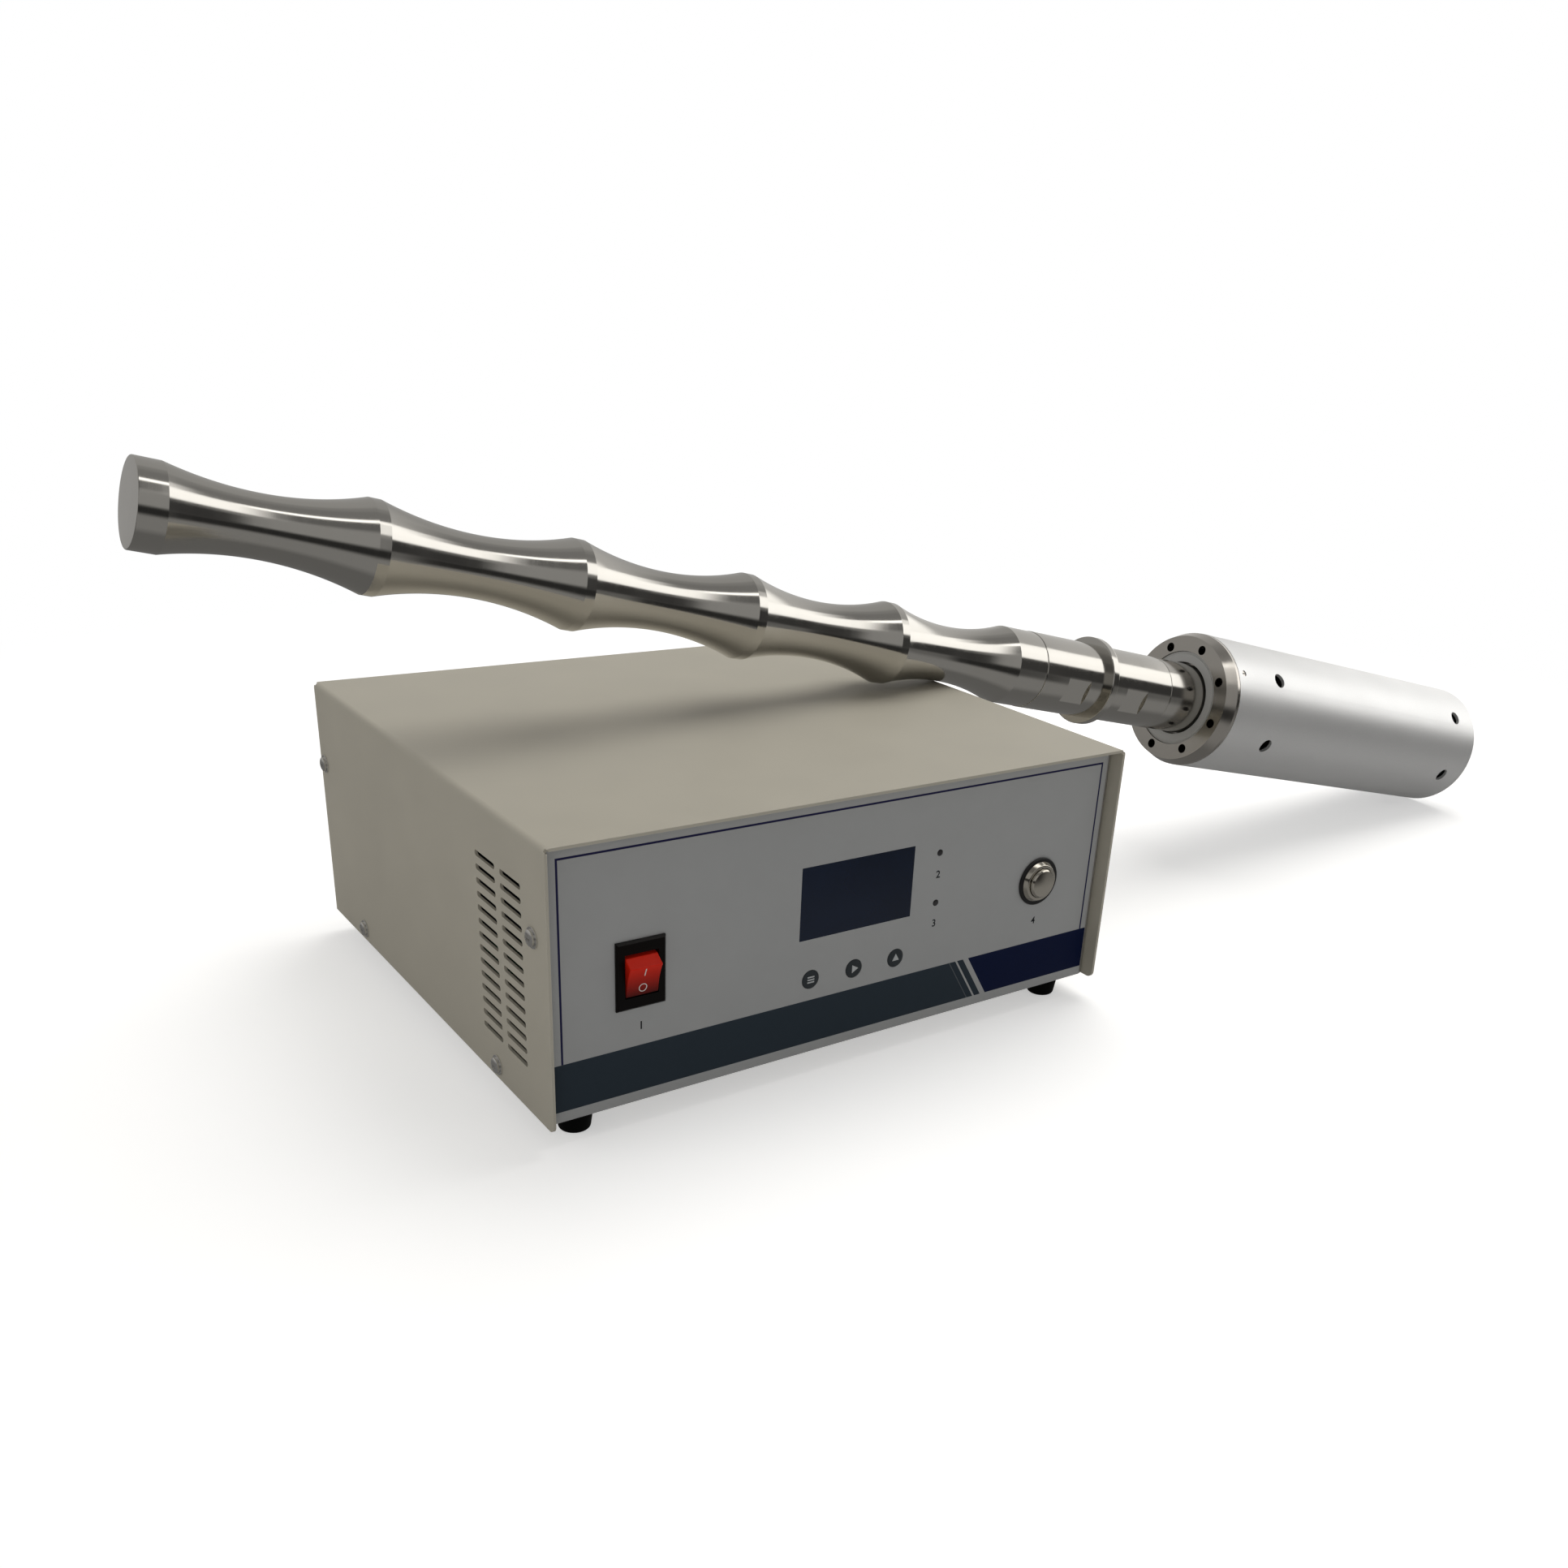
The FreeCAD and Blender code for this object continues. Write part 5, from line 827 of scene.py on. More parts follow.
@dataclass(frozen=True)
class Winding(Finish):
    """Wound wire: close parallel turns across one axis, as wide as the grain's size."""

    mottle: Span = (0.6, 1.15)
    size: float = 1.2 * MM
    depth: float = 0.25 * MM

    def dress(self, graph: Graph, shader: Node, place: Socket) -> None:
        """Sine waves along the winding in height and brightness."""
        given = {"Vector": place, "Scale": 1.0 / (self.size * math.pi), "Distortion": 0.4}
        turns = graph.add("ShaderNodeTexWave", given, bands_direction="DIAGONAL").outputs["Fac"]
        graph.feed(shader, {"Base Color": self.tint(graph, turns)})
        self.bump(graph, shader, turns)


@dataclass(frozen=True)
class PrintedFilm(Finish):
    """The front panel's printed film: a frame line, a slate band, a blue end and slanted lines.

    Distances are millimetres from the cover's left side and bottom.

    Attributes:
        corner: The cover's bottom left front corner, in metres.
        slate: Colour of the wide band, linear.
        blue: Colour of the band's right end, linear.
        navy: Colour of the frame line, linear.
        band: Bottom and top of the band.
        frame_sides: Left and right of the frame line.
        frame_top: Top of the frame line.
        frame_width: Width of the frame line.
        slope: How far a slanted line moves left for each millimetre up.
        lines: Where each slanted line meets the band's bottom, with its width and strength.
        blue_start: Where the blue end meets the band's bottom.
        soft: Half the width of the print's soft edges.
        far: A distance beyond the film.
    """

    mottle: Span = (0.97, 1.03)
    uneven: Span = (0.905, 1.095)
    size: float = 0.35 * MM
    depth: float = 0.004 * MM
    corner: Triple = (0.0, 0.0, 0.0)
    slate: Colour = (0.024, 0.036, 0.05)
    blue: Colour = (0.0, 0.005, 0.038)
    navy: Colour = (0.012, 0.012, 0.06)
    band: Span = (5.9, 30.8)
    frame_sides: Span = (9.0, 341.0)
    frame_top: float = 132.0
    frame_width: float = 1.1
    slope: float = 0.622
    lines: tuple[Triple, ...] = ((256.4, 0.6, 0.2), (261.4, 1.3, 1.0), (268.2, 3.7, 1.0))
    blue_start: float = 270.0
    soft: float = 0.08
    far: float = 500.0

    def dress(self, graph: Graph, shader: Node, place: Socket) -> None:
        """Masks from the place on the panel mix the print's colours."""
        given = {"Vector": place, "Location": self.corner, "Scale": (MM, MM, MM)}
        spot = graph.add("ShaderNodeMapping", given, vector_type="TEXTURE").outputs[0]
        parts = graph.add("ShaderNodeSeparateXYZ", {0: spot})
        across, up = parts.outputs["X"], parts.outputs["Z"]

        def field_mask(grown: float, bottom: float) -> Socket:
            """A mask over the frame, grown by a distance, down to a height."""
            left, right = self.frame_sides
            wide = graph.between(across, left - grown, right + grown, self.soft)
            high = graph.between(up, bottom, self.frame_top + grown, self.soft)
            return graph.math("MULTIPLY", wide, high)

        grain = self.grain(graph, place)
        base = self.tint(graph, grain["Mottle"])
        half = self.frame_width / 2
        frame_line = graph.math("SUBTRACT", field_mask(half, self.band[1]), field_mask(-half, -self.far),
                                clamp=True)
        rise = graph.math("SUBTRACT", up, self.band[0])
        slant = graph.math("ADD", across, graph.math("MULTIPLY", rise, self.slope))
        blue = graph.between(slant, self.blue_start, self.far, self.soft)
        gaps: object = 0.0
        for start, width, strength in self.lines:
            mask = graph.between(slant, start - width / 2, start + width / 2, self.soft)
            gaps = graph.math("ADD", gaps, graph.math("MULTIPLY", mask, strength), clamp=True)
        stripe = graph.blend(gaps, graph.blend(blue, self.slate, self.blue), base)
        band = graph.between(up, *self.band, self.soft)
        paint = graph.blend(band, graph.blend(frame_line, base, self.navy), stripe)
        self.cover(graph, shader, paint, grain["Mottle"])
        self.bump(graph, shader, grain["Grain"])


@dataclass(frozen=True)
class DisplayGlass(Finish):
    """A dark display behind a glossy window, with a faint bluish cloud.

    Attributes:
        cloud_scale: Frequency of the cloud per metre.
        cloud: Noise where the cloud begins and is full.
        coat: Weight of the clear coat.
        coat_roughness: Roughness of the clear coat.
        ripple: Frequency of the glass's ripple per metre.
    """

    mottle: Span = (1.0, 1.8)
    depth: float = 0.001 * MM
    cloud_scale: float = 18.0
    cloud: Span = (0.35, 0.75)
    coat: float = 0.5
    coat_roughness: float = 0.03
    ripple: float = 2500.0

    def dress(self, graph: Graph, shader: Node, place: Socket) -> None:
        """The cloud, and a coat that carries the reflection."""
        cloud = graph.ramp(graph.noise(place, self.cloud_scale), *self.cloud)
        graph.feed(shader, {
            "Base Color": self.tint(graph, cloud), "Coat Weight": self.coat,
            "Coat Roughness": self.coat_roughness,
        })
        self.bump(graph, shader, graph.noise(place, self.ripple, 1.0))


def finishes(probe: Axis, cover_corner: Vector) -> dict[str, Finish]:
    """Lists the finish of each material slot of the record.

    Args:
        probe: The probe's axis.
        cover_corner: The cover's bottom left front corner, in metres.

    Returns:
        Finishes by slot name.
    """
    axis = {"origin": tuple(probe.origin), "along": tuple(probe.along)}
    # Heights of the rocker, over which its painted shade runs.
    rocker = tuple(corner.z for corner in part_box("power_rocker"))
    listed = [
        PowderCoat("cover_paint", (0.44, 0.415, 0.35), 0.46),
        SheetMetal("zinc_sheet", (0.6, 0.61, 0.62), 0.42, 1.0),
        PrintedFilm("panel_film", (0.365, 0.373, 0.378), 0.42, gloss=0.12, corner=tuple(cover_corner)),
        SheetMetal("bright_screw", (0.72, 0.71, 0.69), 0.25, 1.0, squeeze=(1, 1, 1), scale=500.0),
        Moulded("foot_rubber", (0.0015, 0.0018, 0.0016), 0.66, gloss=0.08, size=0.8 * MM, depth=0.02 * MM,
                dusty=0.01),
        Moulded("black_plastic", (0.0025, 0.0015, 0.0012), 0.38, gloss=0.16, dusty=0.004),
        # The rocker's red carries painted shade: down to 0.06 of its colour at its bottom, full at its top.
        HeightShadedPlastic("red_plastic", (0.85, 0.022, 0.006), 0.3, gloss=0.2, depth=0.003 * MM, dusty=0.0,
                     mottle=(0.06, 1.0), shade_heights=rocker),
        Moulded("key_plastic", (0.03, 0.037, 0.042), 0.45, gloss=0.25, depth=0.005 * MM, dusty=0.0),
        TurnedMetal("polished_button", (0.56, 0.53, 0.47), 0.12, 1.0, along=(0, 1, 0), size=0.2 * MM,
                    depth=0.0006 * MM, stretch=0.3),
        Moulded("seal_rubber", (0.006, 0.006, 0.007), 0.5),
        DisplayGlass("display_glass", (0.002, 0.006, 0.018), 0.12, gloss=0.12),
        CircuitBoard("board_green", (0.02, 0.13, 0.06), 0.35),
        SheetMetal("brass_part", (0.72, 0.52, 0.22), 0.3, 1.0),
        Moulded("led_plastic", (0.012, 0.012, 0.014), 0.2, coat=0.6, depth=0.001 * MM),
        TurnedMetal("turned_steel", (0.55, 0.535, 0.505), 0.13, 1.0, depth=0.0012 * MM, **axis),
        TurnedMetal("flange_steel", (0.52, 0.495, 0.46), 0.18, 1.0, stretch=0.0, size=0.4 * MM,
                    depth=0.0012 * MM, **axis),
        BlastedMetal("blasted_aluminium", (0.8, 0.805, 0.81), 0.42, 0.68),
        # The housing tube's inside is painted near black: painted shade seen through its vents.
        BlastedMetal("vented_tube", (0.8, 0.805, 0.81), 0.42, 0.68, bore=Probe.housing_bore * MM, **axis),
        SheetMetal("heatsink_aluminium", (0.7, 0.7, 0.7), 0.4, 1.0, squeeze=(1, 0.05, 1)),
        Moulded("can_aluminium", (0.05, 0.07, 0.12), 0.3, coat=0.4),
        BlastedMetal("piezo_ceramic", (0.62, 0.56, 0.44), 0.5),
        BlastedMetal("retainer_grey", (0.5, 0.5, 0.49), 0.42, 0.3),
        Moulded("gasket_rubber", (0.02, 0.02, 0.02), 0.6),
        BlastedMetal("ferrite", (0.03, 0.03, 0.032), 0.6),
        Winding("copper_winding", (0.55, 0.24, 0.09), 0.3, 1.0),
        Moulded("print_white", (0.75, 0.74, 0.72), 0.45, depth=0.001 * MM),
        Moulded("print_pale", (0.46, 0.48, 0.49), 0.45, depth=0.001 * MM),
        Moulded("print_dark", (0.008, 0.01, 0.014), 0.45, gloss=0.25, depth=0.001 * MM, dusty=0.0),
    ]
    return {finish.name: finish for finish in listed}


@dataclass
class Wardrobe:
    """Puts finishes and places on the pieces.

    Attributes:
        finishes: Finishes by name.
        own: Finishes of nodes that don't wear their slot's.
    """

    finishes: dict[str, Finish]
    own: dict[str, str] = field(default_factory=lambda: {"housing_tube": "vented_tube"})

    def settle(self, piece: bpy.types.Object, finish: str, body: str, slot: str = "",
               replaces: tuple[str, ...] = ()) -> None:
        """Dresses a new piece, ties it to its body and reports it.

        Args:
            piece: The new piece.
            finish: Name of its finish.
            body: Name of the body that it rides on.
            slot: The record's slot, if it isn't the finish's name; not used.
            replaces: CAD nodes that it stands for.
        """
        piece.data.materials.clear()
        piece.data.materials.append(self.finishes[finish].material())
        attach(piece, body)
        if replaces:
            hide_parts(*replaces)
        LOG.info("%s: %d faces, rides on %s", piece.name, len(piece.data.polygons), body)

    def dress_nodes(self) -> None:
        """Gives each node of the frame its own finish, or that of its slot."""
        for row in frame["record"]["subparts"]:
            finish = self.finishes[self.own.get(row["node"], row["material_slot"])]
            for slot in frame["nodes"][row["node"]].material_slots:
                slot.material = finish.material()
            LOG.info("%s: dressed in %s", row["node"], finish.name)


# Probe


@dataclass
class Probe:
    """The probe's bright turned pieces. Sizes are millimetres along and across the axis.

    Attributes:
        wardrobe: Dresses the pieces.
    """

    wardrobe: Wardrobe
    tip_radius: float = 20.0
    tip_land: float = 12.1
    tip_chamfer: float = 0.6
    crest_land: float = 5.5
    waist_lengths: tuple[float, ...] = (89.5, 100.5, 100.4, 98.3, 94.2)
    waist_radii: tuple[float, ...] = (14.8, 15.5, 15.9, 16.5, 17.2)
    crest_radii: tuple[float, ...] = (22.7, 23.5, 23.9, 24.5, 24.7)
    horn_tail: float = 24.6
    seam_chamfer: float = 0.5
    booster_length: float = 124.9
    booster_radius: float = 25.0
    ring_place: float = 58.4
    ring_width: float = 6.0
    ring_radius: float = 29.7
    flat_places: tuple[float, ...] = (21.4, 79.4)
    flat_width: float = 21.0
    flat_reach: float = 23.5
    flat_angle: float = math.radians(195)
    flange_place: float = 35.5
    retainer_bore: float = 26.2
    retainer_radius: float = 32.3
    retainer_foot: float = 33.8
    retainer_step: float = 0.5
    retainer_sink: float = 0.6
    retainer_edge: float = 0.4
    housing_bore: float = 46.0
    retainer_depth: float = 5.9
    seam_land: float = 2.0
    ring_edge: float = 0.8
    flat_step: float = 0.02
    rim_gap: float = 2.0
    rim_width: float = 4.0
    rim_radius: float = 33.0
    front_mass_reach: float = 98.0
    waist_samples: int = 48
    segments: int = 160
    axis: Axis = field(init=False)

    def __post_init__(self) -> None:
        """Finds the axis from the flange's bolt circle."""
        spot, outward = mount_place("flange_bolts")
        reach = (self.seam(2) + self.flange_place) * MM
        self.axis = Axis.through(spot + outward * reach, -outward)

    def seam(self, number: int) -> float:
        """Distance of the first or second seam from the tip."""
        lands = (len(self.waist_lengths) - 1) * self.crest_land
        horn = self.tip_land + sum(self.waist_lengths) + lands + self.horn_tail
        return horn if number == 1 else horn + self.booster_length

    def turn(self, node: str, profile: np.ndarray, finish: str = "turned_steel", **options: object) -> None:
        """Turns a profile about the probe's axis, to stand for a CAD node, and dresses it.

        Args:
            node: The node's name.
            profile: Points (distance from the tip, radius).
            finish: Name of the piece's finish.
            options: What else lathe takes.
        """
        piece = lathe(f"{node}_turned", self.axis, profile, self.segments, **options)
        self.wardrobe.settle(piece, finish, "probe", replaces=(node,))

    def build(self) -> None:
        """Builds and dresses the horn, the booster, the front mass and the retaining ring."""
        self.horn()
        self.booster()
        self.front_mass()
        self.retaining_ring()

    def horn(self) -> None:
        """Lands with straight sides, and waists that are arcs through their narrowest point."""
        start = self.tip_land
        rows = [rounded([(0, 0), (0, self.tip_radius), (start, self.tip_radius)], {1: self.tip_chamfer})]
        radius = self.tip_radius
        for length, waist, crest in zip(self.waist_lengths, self.waist_radii, self.crest_radii):
            end = start + length
            rows.append(arc((start, radius), ((start + end) / 2, waist), (end, crest), self.waist_samples))
            start, radius = end + self.crest_land, crest
        seam = self.seam(1)
        tail = [(seam - self.seam_land, radius), (seam, radius), (seam, 0)]
        rows.append(rounded(tail, {1: self.seam_chamfer}))
        self.turn("horn", np.vstack(rows), sharp=CRISP_ANGLE)

    def booster(self) -> None:
        """A bar with a ring; on each flat the radius is the flat's distance over the cosine."""
        first, last = self.seam(1), self.seam(2)
        ring = first + self.ring_place
        ring_end = ring + self.ring_width
        wide, hoop, step = self.booster_radius, self.ring_radius, self.flat_step
        spans = [(first + place, first + place + self.flat_width) for place in self.flat_places]
        cuts = [(edge + nudge, wide) for span in spans for edge in span for nudge in (-step, step)]
        corners = [
            (first, 0), (first, wide), *cuts[:4], (ring, wide), (ring, hoop), (ring_end, hoop),
            (ring_end, wide), *cuts[4:], (last, wide), (last, 0),
        ]
        soft = {1: self.seam_chamfer, len(corners) - 2: self.seam_chamfer}
        soft.update({corners.index(corner): self.ring_edge for corner in ((ring, hoop), (ring_end, hoop))})

        def flattened(s: np.ndarray, r: np.ndarray, t: np.ndarray) -> np.ndarray:
            """Cuts the bar back to two flats that face each other."""
            facing = np.maximum(np.abs(np.cos(t - self.flat_angle)), 1e-3)
            inside = np.zeros(s.shape, dtype=bool)
            for low, high in spans:
                inside |= (s > low) & (s < high)
            return np.where(inside, np.minimum(r, self.flat_reach / facing), r)

        self.turn("booster", rounded(corners, soft), shape=flattened)

    def front_mass(self) -> None:
        """The bar between the booster and the flange; its rim stays behind the ring."""
        first = self.seam(2)
        reach = (np.array(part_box("front_mass")) - self.axis.origin) @ self.axis.along / MM
        wide, rim = self.booster_radius, self.rim_radius
        rim_low = first + self.flange_place + self.retainer_depth + self.rim_gap
        rim_high = rim_low + self.rim_width
        end = min(float(reach.max()), first + self.front_mass_reach)
        corners = [
            (first, 0), (first, wide), (rim_low, wide), (rim_low, rim), (rim_high, rim), (rim_high, wide),
            (end, wide), (end, 0),
        ]
        self.turn("front_mass", rounded(corners, {1: self.seam_chamfer}))

    def retaining_ring(self) -> None:
        """The satin ring inside the flange, with softened edges."""
        start = self.seam(2) + self.flange_place + self.retainer_sink
        back, step = start + self.retainer_depth, start + self.retainer_step
        corners = [
            (start + 1, self.retainer_bore), (start, self.retainer_bore), (start, self.retainer_radius),
            (step, self.retainer_radius), (step, self.retainer_foot), (back, self.retainer_foot),
            (back, self.retainer_bore),
        ]
        profile = rounded(corners, {1: self.retainer_edge, 2: self.retainer_edge / 2})
        self.turn("retaining_ring", profile, "retainer_grey", ring=True)


# Generator


class KeyMark(Enum):
    """The plain sign on each key: bars for the menu, and pointers to the right and up."""

    BARS = "key_mode"
    RIGHT = "key_next"
    UP = "key_up"


@dataclass
class Generator:
    """The generator box's small visible pieces. Sizes are millimetres.

    Attributes:
        wardrobe: Dresses the pieces.
    """

    wardrobe: Wardrobe
    screw_places: tuple[Span, ...] = ((14.7, 94.5), (297.0, 94.5), (61.9, 7.5), (251.2, 7.5))
    screw_head: float = 4.0
    screw_height: float = 2.2
    washer_radius: float = 5.2
    washer_thickness: float = 0.8
    recess_reach: float = 2.3
    recess_width: float = 0.85
    recess_depth: float = 1.3
    recess_fade: Span = (0.12, 0.3)
    dome_fall: float = 0.82
    dome_bend: float = 0.4
    washer_edge: float = 0.2
    screw_rings: int = 15
    screw_spokes: int = 48
    foot_height: float = 13.0
    foot_radius: float = 7.75
    foot_top_radius: float = 9.6
    foot_edge: float = 1.6
    foot_bore_edge: float = 0.4
    foot_top_edge: float = 0.5
    foot_bore: float = 4.6
    foot_bore_depth: float = 8.0
    seal_radius: float = 14.0
    seal_thickness: float = 1.5
    bezel_radius: float = 12.0
    bezel_face: float = 10.3
    bezel_thickness: float = 2.2
    bezel_edges: Span = (0.35, 0.3)
    button_bore: float = 8.8
    seal_clearance: float = 0.25
    barrel_radius: float = 9.5
    barrel_length: float = 24.0
    cap_radius: float = 8.5
    cap_stand: float = 2.4
    cap_edge: float = 1.0
    cap_corner: float = 0.5
    cap_rise: float = 0.4
    cap_length: float = 10.0
    stem_radius: float = 3.0
    stem_length: float = 8.0
    rocker_tilt: float = math.radians(16)
    rocker_reach: float = 9.0
    rocker_ridge: float = 8.3
    rocker_dish: float = 0.8
    mark_lift: float = 0.05
    off_radii: Span = (1.95, 2.05)
    off_height: float = -4.3
    off_line: float = 0.42
    on_half_width: float = 0.24
    on_ends: Span = (2.7, 7.3)
    key_fall: float = 0.05
    key_mark_lift: float = 0.13
    key_mark_sink: float = 0.08
    pointer_radius: float = 2.6
    bar_half: Span = (2.1, 0.36)
    bar_pitch: float = 1.45
    lamp_rim_radius: float = 1.85
    lamp_radius: float = 1.45
    lamp_places: tuple[Span, ...] = ((227.0, 98.1), (227.0, 69.6))
    captions: tuple[tuple[str, float, float], ...] = (
        ("1", 50.0, 41.0), ("2", 227.0, 85.7), ("3", 227.0, 57.6), ("4", 301.5, 44.1),
    )
    caption_size: float = 5.88
    caption_thickness: float = 0.02
    caption_weight: float = 0.1
    button_segments: int = 96

    def build(self) -> None:
        """Builds and dresses every small piece of the box."""
        self.cover_screws()
        self.feet()
        self.start_button()
        self.rocker_marks()
        self.key_marks()
        self.lamp_rims()
        self.numerals()

    def corner(self) -> Vector:
        """The cover's bottom left front corner, in metres."""
        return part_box("cover_shell")[0]

    def film_spot(self, across: float, up: float) -> Vector:
        """A point on the film's face, from distances off the cover's left side and bottom."""
        corner = self.corner()
        return Vector((corner.x + across * MM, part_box("front_overlay")[0].y, corner.z + up * MM))

    def screw(self, name: str, axis: Axis) -> bpy.types.Object:
        """A pan head with a cross recess on a washer.

        The dome's height over the washer is the head's height times a power of one less a share
        of the squared radius. A recess is cut into it whose depth is full within the arms of a
        cross and fades to zero at their edges.

        Args:
            name: The object's name.
            axis: The screw's axis, pointing out of the sheet.

        Returns:
            The screw's visible part.
        """
        spokes = self.screw_spokes
        share = np.linspace(1, 0, self.screw_rings)
        turn = FULL_TURN * np.arange(spokes) / spokes
        dome = self.washer_thickness + self.screw_height * (1 - self.dome_fall * share ** 2) ** self.dome_bend
        radius, angle = np.meshgrid(self.screw_head * share, turn, indexing="ij")
        height = np.repeat(dome[:, None], spokes, axis=1)
        across, up = radius * np.cos(angle), radius * np.sin(angle)
        arm = np.minimum(np.abs(across), np.abs(up))
        reach = np.maximum(np.abs(across), np.abs(up))
        beside, beyond = self.recess_fade
        inside = np.clip((self.recess_width / 2 - arm) / beside, 0, 1)
        inside *= np.clip((self.recess_reach - reach) / beyond, 0, 1)
        height = height - inside * self.recess_depth
        thick, wide, edge = self.washer_thickness, self.washer_radius, self.washer_edge
        skirt = rounded([(-edge, 0), (-edge, wide), (thick, wide), (thick, self.screw_head)], {2: edge})
        side, rise = np.cos(turn), np.sin(turn)
        out, wide = np.repeat(skirt[:, :1], spokes, 1), skirt[:, 1:]
        low = np.stack([out, wide * side, wide * rise], axis=-1)
        top = np.stack([height, across, up], axis=-1)
        grid = np.vstack([low, top])
        points = axis.points(grid[..., 0], grid[..., 1], grid[..., 2]).reshape(-1, 3)
        index = np.arange(len(points)).reshape(grid.shape[:2])
        index[0] = index[0, 0]
        index[-1] = index[-1, 0]
        after = np.roll(index, -1, axis=1)
        used, faces, _ = joined([index[:-1], index[1:], after[1:], after[:-1]])
        return make_object(name, points[used], faces)

    def cover_screws(self) -> None:
        """Four screws in each cheek."""
        low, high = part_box("cover_shell")
        made = []
        for y, z in self.screw_places:
            for wall, outward in ((low.x, -1), (high.x, 1)):
                spot = Vector((wall, low.y + y * MM, low.z + z * MM))
                made.append(self.screw(f"screw_{len(made)}", Axis.through(spot, Vector((outward, 0, 0)))))
        piece = merged("cover_screw_heads", made)
        self.wardrobe.settle(piece, "bright_screw", "generator", replaces=("cover_screws",))

    def feet(self) -> None:
        """Four rubber feet: a taper with a rounded lower edge and the screw's bore."""
        low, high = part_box("feet")
        made = []
        reach = self.foot_top_radius * MM
        height, bore = self.foot_height, self.foot_bore
        seat = height - self.foot_bore_depth
        corners = [
            (seat, 0), (seat, bore), (height, bore), (height, self.foot_radius),
            (0, self.foot_top_radius), (0, 0),
        ]
        soft = {2: self.foot_bore_edge, 3: self.foot_edge, 4: self.foot_top_edge}
        profile = rounded(corners, soft)[::-1]
        for x in (low.x + reach, high.x - reach):
            for y in (low.y + reach, high.y - reach):
                axis = Axis.through(Vector((x, y, high.z)), Vector((0, 0, -1)), Vector((0, 1, 0)))
                made.append(lathe(f"foot_{len(made)}", axis, profile, 64))
        piece = merged("rubber_feet", made)
        self.wardrobe.settle(piece, "foot_rubber", "generator", replaces=("feet",))

    def start_button(self) -> None:
        """The button's seal, bezel and cap, turned with rounded edges."""
        near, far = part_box("start_button_seal")
        spot = Vector(((near.x + far.x) / 2, far.y, (near.z + far.z) / 2))
        axis = Axis.through(spot, Vector((0, -1, 0)))
        thick, face = self.seal_thickness, self.seal_thickness + self.bezel_thickness
        inner = self.barrel_radius + self.seal_clearance
        edge, steps = self.seal_radius, self.button_segments
        bulge = arc((0, edge - thick / 2), (thick / 2, edge), (thick, edge - thick / 2), 12)
        seal = np.vstack([[(0, inner)], bulge, [(thick, inner)]])
        piece = lathe("start_button_ring", axis, seal, steps, ring=True)
        self.wardrobe.settle(piece, "seal_rubber", "generator", replaces=("start_button_seal",))
        corners = [
            (face, self.button_bore), (face, self.bezel_face), (thick, self.bezel_radius),
            (thick, self.barrel_radius), (-self.barrel_length, self.barrel_radius),
            (-self.barrel_length, self.button_bore),
        ]
        barrel = rounded(corners, dict(enumerate(self.bezel_edges, 1)))[::-1]
        piece = lathe("start_button_bezel", axis, barrel, steps, ring=True)
        self.wardrobe.settle(piece, "polished_button", "generator", replaces=("start_button_barrel",))
        top = face + self.cap_stand
        skirt, stem = top - self.cap_length, top - self.cap_length - self.stem_length
        rim, low = self.cap_radius - self.cap_edge, top - self.cap_rise
        dome = arc((low, rim), (top, 0.0), (low, -rim), 25)[:12]
        side = [
            (stem, 0), (stem, self.stem_radius), (skirt, self.stem_radius), (skirt, self.cap_radius),
            (low - self.cap_edge, self.cap_radius), tuple(dome[0]), tuple(dome[1]),
        ]
        cap = np.vstack([rounded(side, {4: self.cap_corner})[:-1], dome[1:], [(top, 0)]])
        piece = lathe("start_button_face", axis, cap, steps)
        self.wardrobe.settle(piece, "polished_button", "start_cap", replaces=("start_button_cap",))

    def rocker_marks(self) -> None:
        """The plain signs for on and off on the rocker's dished face."""
        pivot = next(Vector(j["pos_m"]) for j in frame["joints"] if j["name"] == "rocker_hinge")
        turn, rise = math.cos(self.rocker_tilt), math.sin(self.rocker_tilt)
        ridge = self.rocker_ridge

        def place(outline: np.ndarray, out: float) -> np.ndarray:
            """Lays points on the dish, a parabola between the ridges, and tilts them with the rocker."""
            up = outline[:, 1]
            depth = -self.rocker_reach + self.rocker_dish * (1 - (up / ridge) ** 2) - out
            y, z = depth * turn - up * rise, depth * rise + up * turn
            return np.array(pivot) + np.column_stack([outline[:, 0], y, z]) * MM

        round_turn = np.linspace(0, FULL_TURN, 40, endpoint=False)
        circle = np.column_stack([np.cos(round_turn), np.sin(round_turn)]) * self.off_radii
        circle += (0, self.off_height)
        low, high = self.on_ends
        bar = rectangle((-self.on_half_width, low), (self.on_half_width, high))
        ring = band("rocker_off_mark", circle, self.off_line, place, self.mark_lift, self.mark_lift)
        line = slab("rocker_on_mark", bar, place, self.mark_lift, self.mark_lift)
        for piece in (ring, line):
            self.wardrobe.settle(piece, "print_white", "rocker", slot="red_plastic")

    def key_marks(self) -> None:
        """A plain sign on each key's crowned face."""
        third = np.array([0, 1, 2]) * FULL_TURN / 3
        pointer = np.column_stack([np.cos(third), np.sin(third)]) * self.pointer_radius
        upward = pointer @ np.array([[0, 1], [-1, 0]])
        across, up = self.bar_half
        bar = rectangle((-across, -up), (across, up))
        bodies = {KeyMark.BARS: "mode_key", KeyMark.RIGHT: "next_key", KeyMark.UP: "up_key"}
        for mark, body in bodies.items():
            low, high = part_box(mark.value)
            centre = np.array([(low.x + high.x) / 2, low.y, (low.z + high.z) / 2])

            def place(outline: np.ndarray, out: float) -> np.ndarray:
                """Lays points on a cone that falls by a share of the distance from its middle."""
                fall = np.hypot(outline[:, 0], outline[:, 1]) * self.key_fall - out
                return centre + np.column_stack([outline[:, 0], fall, outline[:, 1]]) * MM

